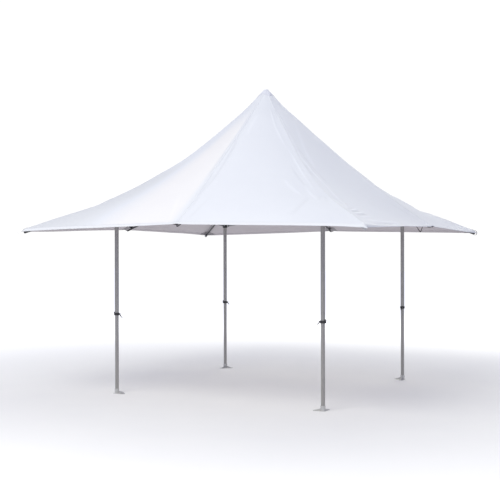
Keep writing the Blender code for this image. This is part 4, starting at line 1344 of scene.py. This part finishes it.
for corner in SIGNS:
    for name, look, edge, steps in CORNER_PIECES:
        dressed(name + corner, look, edge, steps)
    make_arm("corner_arm_" + corner, *corner_arm_line(corner))
    turn = LEVER_TURN[corner] * pi / 2
    make_clamp_bolts(corner, turn)
    make_lever_grip(corner, turn)
    if corner == "front_left":
        make_lever_ring(corner, turn)
    make_slider_latch(corner)
    make_foot_bolts(corner)
for side, quarter in SIDES.items():
    dressed(f"truss_{side}_high", "bar", 0.0020)
    dressed(f"truss_{side}_low", "bar", 0.0020)
    make_arm("side_arm_" + side, *side_arm_line(quarter))
    make_truss_bolts(side, quarter)
    make_hub_bolts(side, quarter)
dressed("hub_high", "bar", 0.0018)
dressed("hub_low", "bar", 0.0018)
dressed("mast", "leg", 0.0016)
dressed("mast_head", "nylon", 0.0010)
make_mast_collar()


# Stage: floor, lights and camera

def make_stage():
    """The floor, which reaches far past what the camera sees."""
    shape = bmesh.new()
    bmesh.ops.create_grid(shape, x_segments=1, y_segments=1, size=FLOOR_REACH)
    mesh = bpy.data.meshes.new("floor")
    shape.to_mesh(mesh)
    shape.free()
    mesh.materials.append(pale_floor())
    floor = bpy.data.objects.new("floor", mesh)
    bpy.context.scene.collection.objects.link(floor)


def make_world():
    """A white surround, which lights the tent a little more softly than it shows."""
    world = bpy.data.worlds.new("studio")
    bpy.context.scene.world = world
    world.use_nodes = True
    tree = world.node_tree
    tree.nodes.clear()
    shown = node(tree, "Background", Color=(1, 1, 1, 1), Strength=SURROUND)
    light = node(tree, "Background", Color=(*SKY_COLOUR, 1), Strength=SKY_STRENGTH)
    mix = node(tree, "MixShader")
    made = (node(tree, "LightPath").outputs["Is Camera Ray"], light.outputs[0], shown.outputs[0])
    for value, socket in zip(made, mix.inputs):
        tree.links.new(value, socket)
    node(tree, "OutputWorld", Surface=mix.outputs[0])


def make_lamp(name, position, size, watts, colour):
    """A round soft light that faces the middle of the tent."""
    lamp = bpy.data.lights.new(name, "AREA")
    lamp.shape = "DISK"
    lamp.size = size
    lamp.energy = watts
    lamp.color = colour
    light = bpy.data.objects.new(name, lamp)
    light.location = position
    light.rotation_euler = (Vector(position) - LAMP_AIM).to_track_quat("Z", "Y").to_euler()
    light.visible_camera = False
    bpy.context.scene.collection.objects.link(light)


def make_camera():
    """The photographer's place: about 13 m off, at eye height, looking level."""
    data = bpy.data.cameras.new("camera")
    data.sensor_width = 36.0
    data.lens = LENS
    camera = bpy.data.objects.new("camera", data)
    turn = (Matrix.Rotation(CAMERA_TURN, 4, "Z") @ Matrix.Rotation(pi / 2 - CAMERA_TILT, 4, "X")
            @ Matrix.Rotation(-CAMERA_ROLL, 4, "Z"))
    camera.matrix_world = Matrix.Translation(CAMERA_PLACE) @ turn
    bpy.context.scene.collection.objects.link(camera)
    bpy.context.scene.camera = camera


make_stage()
make_world()
for lamp in LAMPS:
    make_lamp(*lamp)
make_camera()
bpy.context.scene.view_settings.view_transform = "Standard"
